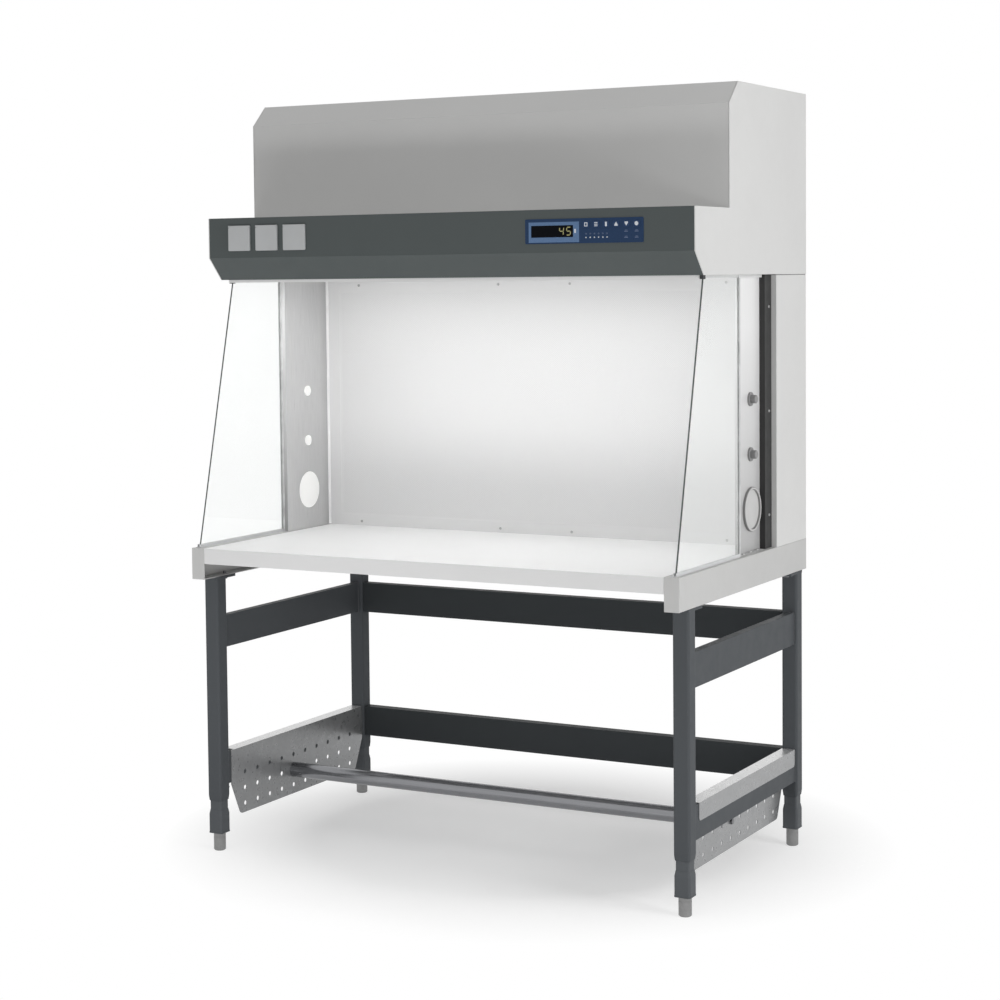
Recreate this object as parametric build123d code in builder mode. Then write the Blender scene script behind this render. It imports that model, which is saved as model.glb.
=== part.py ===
from build123d import *
import math
import os

os.makedirs("parts", exist_ok=True)

# ------------------------------------------------------------------ overall sizes
width = 1300.0
depth = 800.0
height = 1866.0
working_height = 767.0
head_height = 442.0
half_width = width / 2
front_y = -depth / 2
back_y = depth / 2
base_top = working_height
seam_z = height - head_height
sheet = 2.0
thin_sheet = 1.5
cover_gap = 0.5
hole_clearance = 0.3

# ------------------------------------------------------------------ stand
leg_size = 40.0
leg_corner = 6.0
leg_wall = 2.5
leg_x = half_width - leg_size / 2
front_leg_inset = 70.0
rear_leg_inset = 49.0
front_leg_y = front_y + front_leg_inset
rear_leg_y = back_y - rear_leg_inset
leg_bottom = 127.0
swage_height = 13.0
swage_size = 36.6
swage_corner = 5.0
base_height = 77.0
base_bottom = base_top - base_height
top_plate = 6.0
top_plate_length = 80.0
top_plate_corner = 3.0
top_plate_hole_offset = 20.0
leg_top = base_bottom - top_plate
swage_top = leg_bottom + swage_height

rail_height = 80.0
rail_wall = 2.0
rail_bite = 1.0
upper_rail_drop = 182.0
upper_rail_bottom = base_bottom - upper_rail_drop
upper_rail_width = 20.0
upper_rail_inset = 18.0
upper_rail_x = half_width - upper_rail_inset
lower_rail_bottom = 165.0
lower_rail_width = 30.0
lower_rail_inset = 21.0
lower_rail_x = half_width - lower_rail_inset
drain_radius = 4.0
drain_inset = 40.0

beam_setback = 14.0
beam_front = rear_leg_y - beam_setback
beam_depth = 30.0
beam_wall = 2.5
beam_bolt_offset = 2.0
beam_bolt_y = rear_leg_y + beam_bolt_offset
beam_bolt_inset = 20.0
beam_tab_inset = 10.0
beam_boss_radius = 8.0

bolt_radius = 4.0
bolt_head_flats = 13.0
bolt_head = 5.3
bolt_length = 14.0
bolt_hole = bolt_radius + hole_clearance
lock_nut = 6.5
lock_z = 152.0
lock_tip_gap = 0.2

# ------------------------------------------------------------------ telescopic inner legs and feet
inner_leg_size = 33.0
inner_leg_corner = 4.0
inner_leg_wall = 2.5
inner_leg_top = 430.0
slide_clearance = 0.3
boot_size = 39.0
boot_corner = 6.0
boot_bottom = 45.0
boot_shoulder = 92.5
boot_top = 104.0
boot_floor = 15.0
boot_lip = 3.0
boot_lip_size = 40.0
boot_neck_size = 34.0

foot_radius = 15.0
foot_chamfer = 2.5
foot_rod_radius = 6.0
foot_rod_top = 112.0
foot_groove_z = 34.0
foot_groove_width = 2.0
foot_groove_depth = 0.8

# ------------------------------------------------------------------ foot rest
bracket_sheet = 2.0
bracket_front_inset = 30.0
bracket_front = front_leg_y + bracket_front_inset
bracket_rear_inset = 26.0
bracket_rear = rear_leg_y - bracket_rear_inset
bracket_lip_inset = 15.0
bracket_lip_front = bracket_front + bracket_lip_inset
bracket_lip_height = 42.0
bracket_lip_corner = 8.0
bracket_drop = 87.0
bracket_bottom = lower_rail_bottom - bracket_drop
bracket_shoulder_drop = 5.0
bracket_shoulder_z = lower_rail_bottom - bracket_shoulder_drop
bracket_slant = 38.0
bracket_corner = 14.0
bracket_hole_radius = 5.6
bracket_hole_pitch_y = 55.8
bracket_hole_pitch_z = 40.0
bracket_hole_columns = 10
bracket_hole_rows = 3
bracket_hole_shift = 2.4
bracket_hole_centre_y = (bracket_front + bracket_rear) / 2 - bracket_hole_shift
bracket_hole_drop = 23.5
bracket_hole_centre_z = lower_rail_bottom - bracket_hole_drop
bar_radius = 19.0
bar_wall = 2.0
bar_plug = 12.0
bar_column = 4

# ------------------------------------------------------------------ base rails and worktop
base_rail_width = 37.0
base_edge = 2.0
worktop_apron = 38.0
worktop_return = 20.0
worktop_edge = 1.5
rib_width = 60.0
rib_height = 25.0
rib_side = 150.0
rib_count = 4
rib_pitch = (width - 2 * rib_side) / rib_count
rib_end = 12.0

# ------------------------------------------------------------------ work chamber
ceiling_drop = 7.0
ceiling_z = seam_z - ceiling_drop
seam_gap = 2.0
filter_space = 210.0
diffuser_front = back_y - filter_space
canopy_setback = 95.4
canopy_front = front_y + canopy_setback
canopy_slant = 50.0
canopy_toe_y = canopy_front + canopy_slant

column_inset = 27.0
column_x = half_width - column_inset
column_depth = 202.0
column_front = diffuser_front - column_depth
column_rear = diffuser_front
column_flange = 14.0
column_foot = 12.5
column_foot_length = 152.0
column_foot_rear = column_front + column_foot_length
column_screw_offset = 7.0
column_screw_x = column_x + column_screw_offset
column_screw_first = 37.0
column_screw_pitch = 45.0
column_screw_count = 3
small_port_offset = 100.0
small_port_y = column_front + small_port_offset
large_port_offset = 104.5
large_port_y = column_front + large_port_offset
small_port_first = 232.0
small_port_pitch = 131.0
small_port_count = 2
small_port_radius = 10.8
large_port_height = 101.0
large_port_z = base_top + large_port_height
large_port_radius = 48.0

plug_flange_radius = 16.5
plug_flange = 4.0
plug_knob_radius = 10.0
plug_knob = 13.0
plug_nut_radius = 13.0
plug_nut = 3.0
plug_edge = 2.0
cover_rim_radius = 53.0
cover_rim = 7.0
cover_rim_width = 6.0
cover_rim_round = 2.4
cover_disc = 1.6

glass_inset = 15.0
glass_x = half_width - glass_inset
glass_thick = 4.0
glass_rear_gap = 2.3
glass_rear = column_front - glass_rear_gap
glass_setback = 15.0
glass_front_bottom = front_y + glass_setback
glass_top_setback = 32.6
glass_front_top = canopy_toe_y + glass_top_setback
glass_lap = 10.0
glass_top = seam_z + glass_lap
channel_width = 9.0
channel_height = 8.0
channel_wall = 2.0
channel_lead = 6.0
channel_front = glass_front_bottom - channel_lead
channel_gap = 1.0
gasket_depth = 8.0
gasket_wall = 1.6
clip_length = 14.0
clip_height = 9.0
clip_wall = 1.8
clip_cap = 5.4
clip_lead = 12.4

post_lap = 40.0
post_front = diffuser_front - post_lap
post_step = 3.0
post_rear = diffuser_front + post_step
post_inset = 13.0
post_outer_x = half_width - post_inset
post_wall = 1.5
post_screw_setback = 17.0
post_screw_y = post_rear - post_screw_setback
post_screw_first = 80.0
post_screw_last = 77.0
post_screw_count = 3

# ------------------------------------------------------------------ rear wall, filter and rear cover
diffuser_gap = 0.3
diffuser_half = column_x - thin_sheet - diffuser_gap
diffuser_fold = 8.0
diffuser_band = 29.0
diffuser_side_band = 38.7
diffuser_recess = 0.8
diffuser_screw_side = 130.0
diffuser_screw_outer = half_width - diffuser_screw_side
diffuser_screw_inner = 102.0
diffuser_screw_inset = 11.0
filter_inset = 42.0
filter_half = half_width - filter_inset
filter_depth = 78.0
filter_frame = 14.0
pleat_count = 48
pleat_lap = 8.0
pleat_sheet = 3.0
cover_flange = 25.0
cover_foot = 18.0

# ------------------------------------------------------------------ head and canopy
head_depth = 503.0
head_front_y = back_y - head_depth
head_chamfer_height = 52.0
head_chamfer_z = height - head_chamfer_height
head_chamfer_depth = 55.0
head_chamfer_y = head_front_y + head_chamfer_depth
canopy_height = 152.0
canopy_top = seam_z + canopy_height
canopy_slant_height = 54.0
canopy_knee = seam_z + canopy_slant_height
canopy_return = 28.0
head_top_lap = 20.0
head_corner = 3.0
side_flange = 9.0

slot_length = 84.0
slot_width = 9.0
slot_side = 130.0
slot_columns = 10
slot_pitch_x = (width - 2 * slot_side) / slot_columns
slot_pitch_y = 30.0
slot_rows = 8
intake_setback = 210.0
intake_y = back_y - intake_setback
top_cover_flange = 22.0

prefilter_side = 90.0
prefilter_x = width - 2 * prefilter_side
prefilter_y = 300.0
prefilter_height = 24.0
prefilter_frame = 10.0
prefilter_drop = 6.0
prefilter_pleats = 30
ledge_foot = 12.0

deck_height = 216.0
deck_z = seam_z + deck_height
deck_rear = back_y - 2 * sheet
deck_flange = 20.0
fan_setback = 250.0
fan_y = back_y - fan_setback
inlet_radius = 92.0
inlet_flare = 12.0
inlet_throat = 15.0
impeller_radius = 150.0
impeller_drop = 14.0
impeller_top = deck_z - impeller_drop
impeller_height = 108.0
impeller_bottom = impeller_top - impeller_height
impeller_plate = 2.5
impeller_eye = 96.0
blade_count = 7
blade_inner = 82.0
blade_outer = 148.0
blade_sweep = 48.0
blade_thick = 3.0
blade_steps = 8
hub_radius = 22.0
hub_height = 30.0
shaft_radius = 8.0
shaft_fit = 0.05
motor_radius = 68.0
motor_drop = 10.0
motor_top = impeller_bottom - motor_drop
motor_height = 62.0
motor_bottom = motor_top - motor_height
motor_edge = 6.0
motor_seat = 6.0
cage_radius = 205.0
cage_rod = 6.0
cage_plate_width = 60.0
cage_plate = 4.0

lamp_side = 60.0
lamp_length = width - 2 * lamp_side
lamp_width = 112.0
lamp_setback = 154.6
lamp_y = canopy_front + lamp_setback
lamp_height = 46.0
lamp_cover = 3.0
lamp_flange = 8.0
lamp_corner = 6.0
ceiling_clip_gap = 0.9
ceiling_half = glass_x - glass_thick / 2 - hole_clearance - clip_wall - ceiling_clip_gap
ceiling_front_gap = 4.6
ceiling_front = canopy_toe_y + ceiling_front_gap
ceiling_rear_lap = 90.0
ceiling_rear = diffuser_front + ceiling_rear_lap
ceiling_flange = 24.0

inlet_side = 230.0
inlet_x = inlet_side - half_width
inlet_rise = 56.0
inlet_z = seam_z + inlet_rise
inlet_width = 28.0
inlet_height = 22.0
inlet_flange = 3.0
inlet_body = 24.0
inlet_lap = 9.0
inlet_recess = 14.0
pin_width = 2.4
pin_height = 4.8
pin_spacing = 6.3
pin_length = 8.0

# ------------------------------------------------------------------ control panel, outlets
panel_width = 295.0
panel_height = 56.0
panel_side = 270.5
panel_x = half_width - panel_side
panel_rise = 48.5
panel_z = canopy_knee + panel_rise
panel_thick = 1.2
panel_corner = 3.0
panel_margin = 5.0
window_width = 106.2
window_height = 26.9
window_offset = 79.2
window_x = panel_x - window_offset
window_drop = 0.25
window_z = panel_z - window_drop
window_clearance = 0.3
key_width = 17.0
key_height = 15.0
key_corner = 2.5
key_proud = 0.9
key_clearance = 0.3
key_lip = 1.2
key_lip_thick = 1.2
key_stem = 2.5
key_stop_gap = 0.05
key_travel = 0.5
key_offset = 6.3
key_first_x = panel_x + key_offset
key_pitch = 24.9
key_count = 6
key_rise = 14.0
key_z = panel_z + key_rise
board_thick = 1.6
board_margin = 4.0

outlet_side = 93.0
outlet_first_x = outlet_side - half_width
outlet_pitch = 80.2
outlet_count = 3
outlet_rise = 48.0
outlet_z = canopy_knee + outlet_rise
outlet_size = 62.0
outlet_corner = 3.0
outlet_flange = 1.2
outlet_body = 54.0
outlet_body_depth = 30.0
outlet_dish_radius = 20.0
outlet_dish = 13.0
contact_radius = 2.4
contact_spacing = 19.0
contact_depth = 8.0
lid_thick = 3.6
lid_gap = 0.3
ear_width = 3.0
ear_height = 5.0
ear_gap = 0.3
lid_swing_gap = 0.8
trunnion_radius = 1.1
trunnion_fit = 0.08
trunnion_bite = 2.0

screw_head_radius = 3.6
screw_head = 1.8
screw_head_slope = 18.0
screw_socket = 2.5
screw_socket_depth = 1.2
screw_shank_radius = 1.9
screw_shank = 12.0
screw_bite = 4.5
cover_screw_inset = 14.0
rear_screw_count = 4


def save(part, label):
    part.label = label
    export_step(part, "parts/" + label + ".step")


def mirrored(part):
    return part.mirror(Plane.YZ)


def row(first, pitch, count):
    return [first + index * pitch for index in range(count)]


def face_plane(x, y, z, normal):
    if abs(normal[2]) > 0:
        return Plane(origin=(x, y, z), x_dir=(1, 0, 0), z_dir=normal)
    return Plane(origin=(x, y, z), x_dir=(-normal[1], normal[0], 0), z_dir=normal)


def folded_sheet(points, thickness, x_from, x_to, side):
    """Sheet bent along a profile of (y, z) points, running from x_from to x_to."""
    with BuildPart() as folded:
        with BuildSketch(Plane.YZ.offset(x_from)):
            with BuildLine():
                Polyline(*points)
                offset(amount=thickness, side=side)
            make_face()
        extrude(amount=x_to - x_from)
    return folded.part


# ================================================================== stand
# Side frame: two leg tubes with swaged ends, two rails and two top plates, welded.
leg_places = [(leg_x, front_leg_y), (leg_x, rear_leg_y)]
plate_places = [
    (leg_x, front_leg_y - leg_size / 2 + top_plate_length / 2),
    (leg_x, rear_leg_y + leg_size / 2 - top_plate_length / 2),
]
plate_bolt_places = [
    (leg_x, front_leg_y - leg_size / 2 + top_plate_length - top_plate_hole_offset),
    (leg_x, rear_leg_y + leg_size / 2 - top_plate_length + top_plate_hole_offset),
]
leg_bore = leg_size - 2 * leg_wall
leg_mouth = inner_leg_size + 2 * slide_clearance
rail_front = front_leg_y + leg_size / 2
rail_rear = rear_leg_y - leg_size / 2
rail_middle = (rail_front + rail_rear) / 2
rail_length = rail_rear - rail_front
rails = [
    (upper_rail_x, upper_rail_width, upper_rail_bottom),
    (lower_rail_x, lower_rail_width, lower_rail_bottom),
]
beam_bolt_heights = [
    beam_base + inset
    for beam_base in (upper_rail_bottom, lower_rail_bottom)
    for inset in (beam_bolt_inset, rail_height - beam_bolt_inset)
]

with BuildPart() as side_frame_right:
    with BuildSketch(Plane.XY.offset(swage_top)):
        with Locations(*leg_places):
            RectangleRounded(leg_size, leg_size, leg_corner)
    extrude(amount=leg_top - swage_top)
    for leg_place in leg_places:
        with BuildSketch(Plane.XY.offset(leg_bottom)):
            with Locations(leg_place):
                RectangleRounded(swage_size, swage_size, swage_corner)
        with BuildSketch(Plane.XY.offset(swage_top)):
            with Locations(leg_place):
                RectangleRounded(leg_size, leg_size, leg_corner)
        loft()
    for rail_x, rail_width, rail_bottom in rails:
        with Locations((rail_x, rail_middle, rail_bottom + rail_height / 2)):
            Box(rail_width, rail_length + 2 * rail_bite, rail_height)
            Box(
                rail_width - 2 * rail_wall,
                rail_length,
                rail_height - 2 * rail_wall,
                mode=Mode.SUBTRACT,
            )
        with BuildSketch(Plane.XY.offset(rail_bottom)):
            with Locations((rail_x, rail_front + drain_inset), (rail_x, rail_rear - drain_inset)):
                Circle(drain_radius)
        extrude(amount=rail_wall, mode=Mode.SUBTRACT)
    with BuildSketch(Plane.XY.offset(leg_bottom)):
        with Locations(*leg_places):
            RectangleRounded(leg_mouth, leg_mouth, inner_leg_corner + slide_clearance)
    extrude(amount=swage_height, mode=Mode.SUBTRACT)
    with BuildSketch(Plane.XY.offset(swage_top)):
        with Locations(*leg_places):
            RectangleRounded(leg_bore, leg_bore, leg_corner - leg_wall)
    extrude(amount=leg_top - swage_top, mode=Mode.SUBTRACT)
    with BuildSketch(Plane.XY.offset(leg_top)):
        with Locations(*plate_places):
            RectangleRounded(leg_size, top_plate_length, top_plate_corner)
    extrude(amount=top_plate)
    with BuildSketch(Plane.XY.offset(leg_top)):
        with Locations(*plate_bolt_places):
            Circle(bolt_hole)
    extrude(amount=top_plate, mode=Mode.SUBTRACT)
    for place_x, place_y in leg_places:
        with BuildSketch(face_plane(place_x, place_y + leg_size / 2, lock_z, (0, 1, 0))):
            RegularPolygon(bolt_head_flats / 2, 6, major_radius=False)
        extrude(amount=lock_nut)
        with BuildSketch(face_plane(place_x, place_y + leg_size / 2 - leg_wall, lock_z, (0, 1, 0))):
            Circle(bolt_hole)
        extrude(amount=leg_wall + lock_nut, mode=Mode.SUBTRACT)
    for bolt_z in beam_bolt_heights:
        with BuildSketch(face_plane(leg_x - leg_size / 2, beam_bolt_y, bolt_z, (-1, 0, 0))):
            Circle(beam_boss_radius)
        extrude(amount=beam_tab_inset)
        with BuildSketch(face_plane(leg_x - leg_size / 2 + leg_wall, beam_bolt_y, bolt_z, (-1, 0, 0))):
            Circle(bolt_hole)
        extrude(amount=beam_tab_inset + leg_wall, mode=Mode.SUBTRACT)

save(side_frame_right.part, "side_frame_right")
save(mirrored(side_frame_right.part), "side_frame_left")


# Rear beams: trays open to the rear, bolted between the rear legs.
def rear_beam(bottom):
    half_span = leg_x - leg_size / 2
    with BuildPart() as beam:
        with Locations((0, beam_front + beam_depth / 2, bottom + rail_height / 2)):
            Box(2 * half_span, beam_depth, rail_height)
        with Locations((0, beam_front + beam_wall + beam_depth / 2, bottom + rail_height / 2)):
            Box(
                2 * (half_span + beam_wall),
                beam_depth,
                rail_height - 2 * beam_wall,
                mode=Mode.SUBTRACT,
            )
        for side in (-1, 1):
            tab_x = side * (half_span - beam_tab_inset - beam_wall / 2)
            with Locations((tab_x, beam_front + beam_depth / 2, bottom + rail_height / 2)):
                Box(beam_wall, beam_depth, rail_height)
        with BuildSketch(Plane.YZ.offset(-half_span)):
            with Locations(
                (beam_bolt_y, bottom + beam_bolt_inset),
                (beam_bolt_y, bottom + rail_height - beam_bolt_inset),
            ):
                Circle(bolt_hole)
        extrude(amount=2 * half_span, mode=Mode.SUBTRACT)
    return beam.part


save(rear_beam(upper_rail_bottom), "beam_upper")
save(rear_beam(lower_rail_bottom), "beam_lower")


# Telescopic inner legs with their boots.
def inner_leg(x, y):
    with BuildPart() as leg:
        with BuildSketch(Plane.XY.offset(boot_bottom)):
            with Locations((x, y)):
                RectangleRounded(boot_lip_size, boot_lip_size, boot_corner)
        extrude(amount=boot_lip)
        with BuildSketch(Plane.XY.offset(boot_bottom + boot_lip)):
            with Locations((x, y)):
                RectangleRounded(boot_size, boot_size, boot_corner)
        extrude(amount=boot_shoulder - boot_bottom - boot_lip)
        with BuildSketch(Plane.XY.offset(boot_shoulder)):
            with Locations((x, y)):
                RectangleRounded(boot_size, boot_size, boot_corner)
        with BuildSketch(Plane.XY.offset(boot_top)):
            with Locations((x, y)):
                RectangleRounded(boot_neck_size, boot_neck_size, inner_leg_corner)
        loft()
        with BuildSketch(Plane.XY.offset(boot_top)):
            with Locations((x, y)):
                RectangleRounded(inner_leg_size, inner_leg_size, inner_leg_corner)
        extrude(amount=inner_leg_top - boot_top)
        bore = inner_leg_size - 2 * inner_leg_wall
        with BuildSketch(Plane.XY.offset(boot_bottom + boot_floor)):
            with Locations((x, y)):
                RectangleRounded(bore, bore, inner_leg_corner - inner_leg_wall)
        extrude(amount=inner_leg_top - boot_bottom - boot_floor, mode=Mode.SUBTRACT)
        with BuildSketch(Plane.XY.offset(boot_bottom)):
            with Locations((x, y)):
                Circle(foot_rod_radius + hole_clearance)
        extrude(amount=boot_floor, mode=Mode.SUBTRACT)
    return leg.part


# Levelling feet: turned cylinders on threaded rods.
def levelling_foot(x, y):
    with BuildPart() as foot:
        with BuildSketch():
            with Locations((x, y)):
                Circle(foot_radius)
        extrude(amount=boot_bottom)
        chamfer(foot.edges().filter_by(GeomType.CIRCLE).sort_by(Axis.Z)[0], foot_chamfer)
        with BuildSketch(Plane.XY.offset(foot_groove_z)):
            with Locations((x, y)):
                Circle(foot_radius)
                Circle(foot_radius - foot_groove_depth, mode=Mode.SUBTRACT)
        extrude(amount=foot_groove_width, mode=Mode.SUBTRACT)
        with BuildSketch(Plane.XY.offset(boot_bottom)):
            with Locations((x, y)):
                Circle(foot_rod_radius)
        extrude(amount=foot_rod_top - boot_bottom)
    return foot.part


corners = {
    "front_left": (-leg_x, front_leg_y),
    "front_right": (leg_x, front_leg_y),
    "rear_left": (-leg_x, rear_leg_y),
    "rear_right": (leg_x, rear_leg_y),
}
for corner_name, (corner_x, corner_y) in corners.items():
    save(inner_leg(corner_x, corner_y), "inner_leg_" + corner_name)
    save(levelling_foot(corner_x, corner_y), "foot_" + corner_name)

# ================================================================== foot rest
# Perforated bracket, folded over the lower side rail.
bracket_inner_x = lower_rail_x - lower_rail_width / 2 - bracket_sheet
bracket_outer_x = lower_rail_x + lower_rail_width / 2 + bracket_sheet
bracket_rest_z = lower_rail_bottom + rail_height
bracket_top = bracket_rest_z + bracket_sheet
bar_y = bracket_hole_centre_y + (bar_column - (bracket_hole_columns - 1) / 2) * bracket_hole_pitch_y

with BuildPart() as footrest_bracket_right:
    with BuildSketch(Plane.YZ.offset(bracket_inner_x)):
        with BuildLine():
            Polyline(
                (bracket_front, bracket_top),
                (bracket_rear, bracket_top),
                (bracket_rear, bracket_shoulder_z),
                (bracket_rear - bracket_slant, bracket_bottom),
                (bracket_front + bracket_slant, bracket_bottom),
                (bracket_front, bracket_shoulder_z),
                close=True,
            )
        make_face()
    extrude(amount=bracket_sheet)
    fillet(
        footrest_bracket_right.edges().filter_by(Axis.X).group_by(Axis.Z)[0],
        bracket_corner,
    )
    with BuildSketch(Plane.XY.offset(bracket_rest_z)):
        with Locations(
            ((bracket_inner_x + bracket_outer_x) / 2, (bracket_lip_front + bracket_rear) / 2)
        ):
            Rectangle(bracket_outer_x - bracket_inner_x, bracket_rear - bracket_lip_front)
    extrude(amount=bracket_sheet)
    with Locations(
        (
            bracket_outer_x - bracket_sheet / 2,
            (bracket_lip_front + bracket_rear) / 2,
            bracket_top - bracket_lip_height / 2,
        )
    ):
        Box(bracket_sheet, bracket_rear - bracket_lip_front, bracket_lip_height)
    fillet(
        footrest_bracket_right.edges()
        .filter_by(Axis.X)
        .filter_by(lambda edge: edge.center().X > bracket_outer_x - bracket_sheet)
        .group_by(Axis.Z)[0],
        bracket_lip_corner,
    )
    with BuildSketch(Plane.YZ.offset(bracket_inner_x)):
        with Locations((bracket_hole_centre_y, bracket_hole_centre_z)):
            with GridLocations(
                bracket_hole_pitch_y,
                bracket_hole_pitch_z,
                bracket_hole_columns,
                bracket_hole_rows,
            ):
                Circle(bracket_hole_radius)
    extrude(amount=bracket_sheet, mode=Mode.SUBTRACT)

save(footrest_bracket_right.part, "footrest_bracket_right")
save(mirrored(footrest_bracket_right.part), "footrest_bracket_left")

# Foot bar: tube with threaded ends between the brackets.
with BuildPart() as footrest_bar:
    with BuildSketch(Plane.YZ.offset(-bracket_inner_x)):
        with Locations((bar_y, bracket_hole_centre_z)):
            Circle(bar_radius)
            Circle(bolt_hole, mode=Mode.SUBTRACT)
    extrude(amount=2 * bracket_inner_x)
    with BuildSketch(Plane.YZ.offset(bar_plug - bracket_inner_x)):
        with Locations((bar_y, bracket_hole_centre_z)):
            Circle(bar_radius - bar_wall)
    extrude(amount=2 * (bracket_inner_x - bar_plug), mode=Mode.SUBTRACT)

save(footrest_bar.part, "footrest_bar")

# Hexagon bolts: rear beams, top plates, leg locks and foot bar.
beam_bolt_x = leg_x - leg_size / 2 - beam_tab_inset - beam_wall
bolt_seats = []
for side in (-1, 1):
    for bolt_z in beam_bolt_heights:
        bolt_seats.append((side * beam_bolt_x, beam_bolt_y, bolt_z, (-side, 0, 0)))
    for bolt_x, bolt_y in plate_bolt_places:
        bolt_seats.append((side * bolt_x, bolt_y, leg_top, (0, 0, -1)))
    bolt_seats.append(
        (side * (bracket_inner_x + bracket_sheet), bar_y, bracket_hole_centre_z, (side, 0, 0))
    )
    for bolt_x, bolt_y in leg_places:
        lock_seat = bolt_y + inner_leg_size / 2 + lock_tip_gap + bolt_length
        bolt_seats.append((side * bolt_x, lock_seat, lock_z, (0, 1, 0)))

with BuildPart() as hex_bolts:
    for seat_x, seat_y, seat_z, seat_normal in bolt_seats:
        with BuildSketch(face_plane(seat_x, seat_y, seat_z, seat_normal)):
            RegularPolygon(bolt_head_flats / 2, 6, major_radius=False)
        extrude(amount=bolt_head)
        with BuildSketch(face_plane(seat_x, seat_y, seat_z, seat_normal)):
            Circle(bolt_radius)
        extrude(amount=-bolt_length)

save(hex_bolts.part, "hex_bolts")

# ================================================================== base rails and worktop
base_inner_x = half_width - base_rail_width
base_middle_x = half_width - base_rail_width / 2
column_screws_y = row(column_front + column_screw_first, column_screw_pitch, column_screw_count)
column_screw_places = [(column_screw_x, screw_y) for screw_y in column_screws_y]

with BuildPart() as base_rail_right:
    with Locations((base_middle_x, 0, base_bottom + base_height / 2)):
        Box(base_rail_width, depth, base_height)
    fillet(
        base_rail_right.edges().filter_by(lambda edge: edge.center().X > half_width - base_edge),
        base_edge,
    )
    with Locations((base_middle_x - sheet, 0, base_bottom + base_height / 2)):
        Box(base_rail_width, depth - 2 * sheet, base_height - 2 * sheet, mode=Mode.SUBTRACT)
    with BuildSketch(Plane.XY.offset(base_bottom)):
        with Locations(*plate_bolt_places):
            Circle(bolt_hole)
    extrude(amount=sheet, mode=Mode.SUBTRACT)
    with BuildSketch(Plane.XY.offset(base_top)):
        with Locations(*column_screw_places):
            Circle(screw_shank_radius + hole_clearance)
    extrude(amount=-sheet, mode=Mode.SUBTRACT)

save(base_rail_right.part, "base_rail_right")
save(mirrored(base_rail_right.part), "base_rail_left")

worktop_half = base_inner_x - cover_gap
worktop_rear = back_y - sheet
worktop_middle = (front_y + worktop_rear) / 2
worktop_length = worktop_rear - front_y
worktop_mid_z = base_top - worktop_apron / 2

with BuildPart() as worktop:
    with Locations((0, worktop_middle, worktop_mid_z)):
        Box(2 * worktop_half, worktop_length, worktop_apron)
    fillet(
        worktop.edges().filter_by(Axis.X).group_by(Axis.Y)[0].sort_by(Axis.Z)[-1],
        worktop_edge,
    )
    with Locations((0, worktop_middle, worktop_mid_z)):
        Box(
            2 * (worktop_half - sheet),
            worktop_length - 2 * sheet,
            worktop_apron - 2 * sheet,
            mode=Mode.SUBTRACT,
        )
    with Locations((0, worktop_middle, base_top - worktop_apron + sheet / 2)):
        Box(
            2 * (worktop_half - worktop_return),
            worktop_length - 2 * worktop_return,
            sheet,
            mode=Mode.SUBTRACT,
        )
    with Locations((0, worktop_middle, base_top - sheet - rib_height / 2)):
        with GridLocations(rib_pitch, 1, rib_count, 1):
            Box(rib_width, worktop_length - 2 * rib_end, rib_height)
    with Locations((0, worktop_middle, base_top - sheet - (rib_height - sheet) / 2)):
        with GridLocations(rib_pitch, 1, rib_count, 1):
            Box(
                rib_width - 2 * sheet,
                worktop_length - 2 * sheet,
                rib_height - sheet,
                mode=Mode.SUBTRACT,
            )

save(worktop.part, "worktop")

# ================================================================== work chamber
# Channels on the base rails, and the side panes that stand in them.
channel_rear = column_front - gasket_depth - channel_gap
pane_bottom = base_top + channel_wall
groove_width = glass_thick + 2 * hole_clearance

with BuildPart() as glass_channels:
    for side in (-1, 1):
        with Locations(
            (side * glass_x, (channel_front + channel_rear) / 2, base_top + channel_height / 2)
        ):
            Box(channel_width, channel_rear - channel_front, channel_height)
        with Locations(
            (side * glass_x, (channel_front + channel_rear) / 2, pane_bottom + channel_height / 2)
        ):
            Box(groove_width, channel_rear - channel_front, channel_height, mode=Mode.SUBTRACT)

save(glass_channels.part, "glass_channels")

with BuildPart() as glass_right:
    with BuildSketch(Plane.YZ.offset(glass_x - glass_thick / 2)):
        with BuildLine():
            Polyline(
                (glass_front_bottom, pane_bottom),
                (glass_rear, pane_bottom),
                (glass_rear, glass_top),
                (glass_front_top, glass_top),
                close=True,
            )
        make_face()
    extrude(amount=glass_thick)

save(glass_right.part, "glass_right")
save(mirrored(glass_right.part), "glass_left")

# Seals between the rear edge of each pane and the column.
with BuildPart() as glass_gaskets:
    for side in (-1, 1):
        with Locations(
            (side * glass_x, column_front - gasket_depth / 2, (base_top + ceiling_z) / 2)
        ):
            Box(groove_width + 2 * gasket_wall, gasket_depth, ceiling_z - base_top)
        with Locations(
            (side * glass_x, column_front - gasket_depth / 2 - gasket_wall, (base_top + ceiling_z) / 2)
        ):
            Box(groove_width, gasket_depth, ceiling_z - base_top, mode=Mode.SUBTRACT)

save(glass_gaskets.part, "glass_gaskets")

# Clips that hold the front top corner of each pane under the canopy.
clip_front = glass_front_top - clip_lead
with BuildPart() as glass_clips:
    for side in (-1, 1):
        with Locations((side * glass_x, clip_front + clip_length / 2, seam_z - clip_height / 2)):
            Box(groove_width + 2 * clip_wall, clip_length, clip_height)
        with Locations(
            (side * glass_x, clip_front + clip_cap + clip_length / 2, seam_z - clip_height / 2)
        ):
            Box(groove_width, clip_length, clip_height, mode=Mode.SUBTRACT)

save(glass_clips.part, "glass_clips")

# Columns: folded stainless channels with the service ports.
small_port_heights = row(base_top + small_port_first, small_port_pitch, small_port_count)

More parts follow.
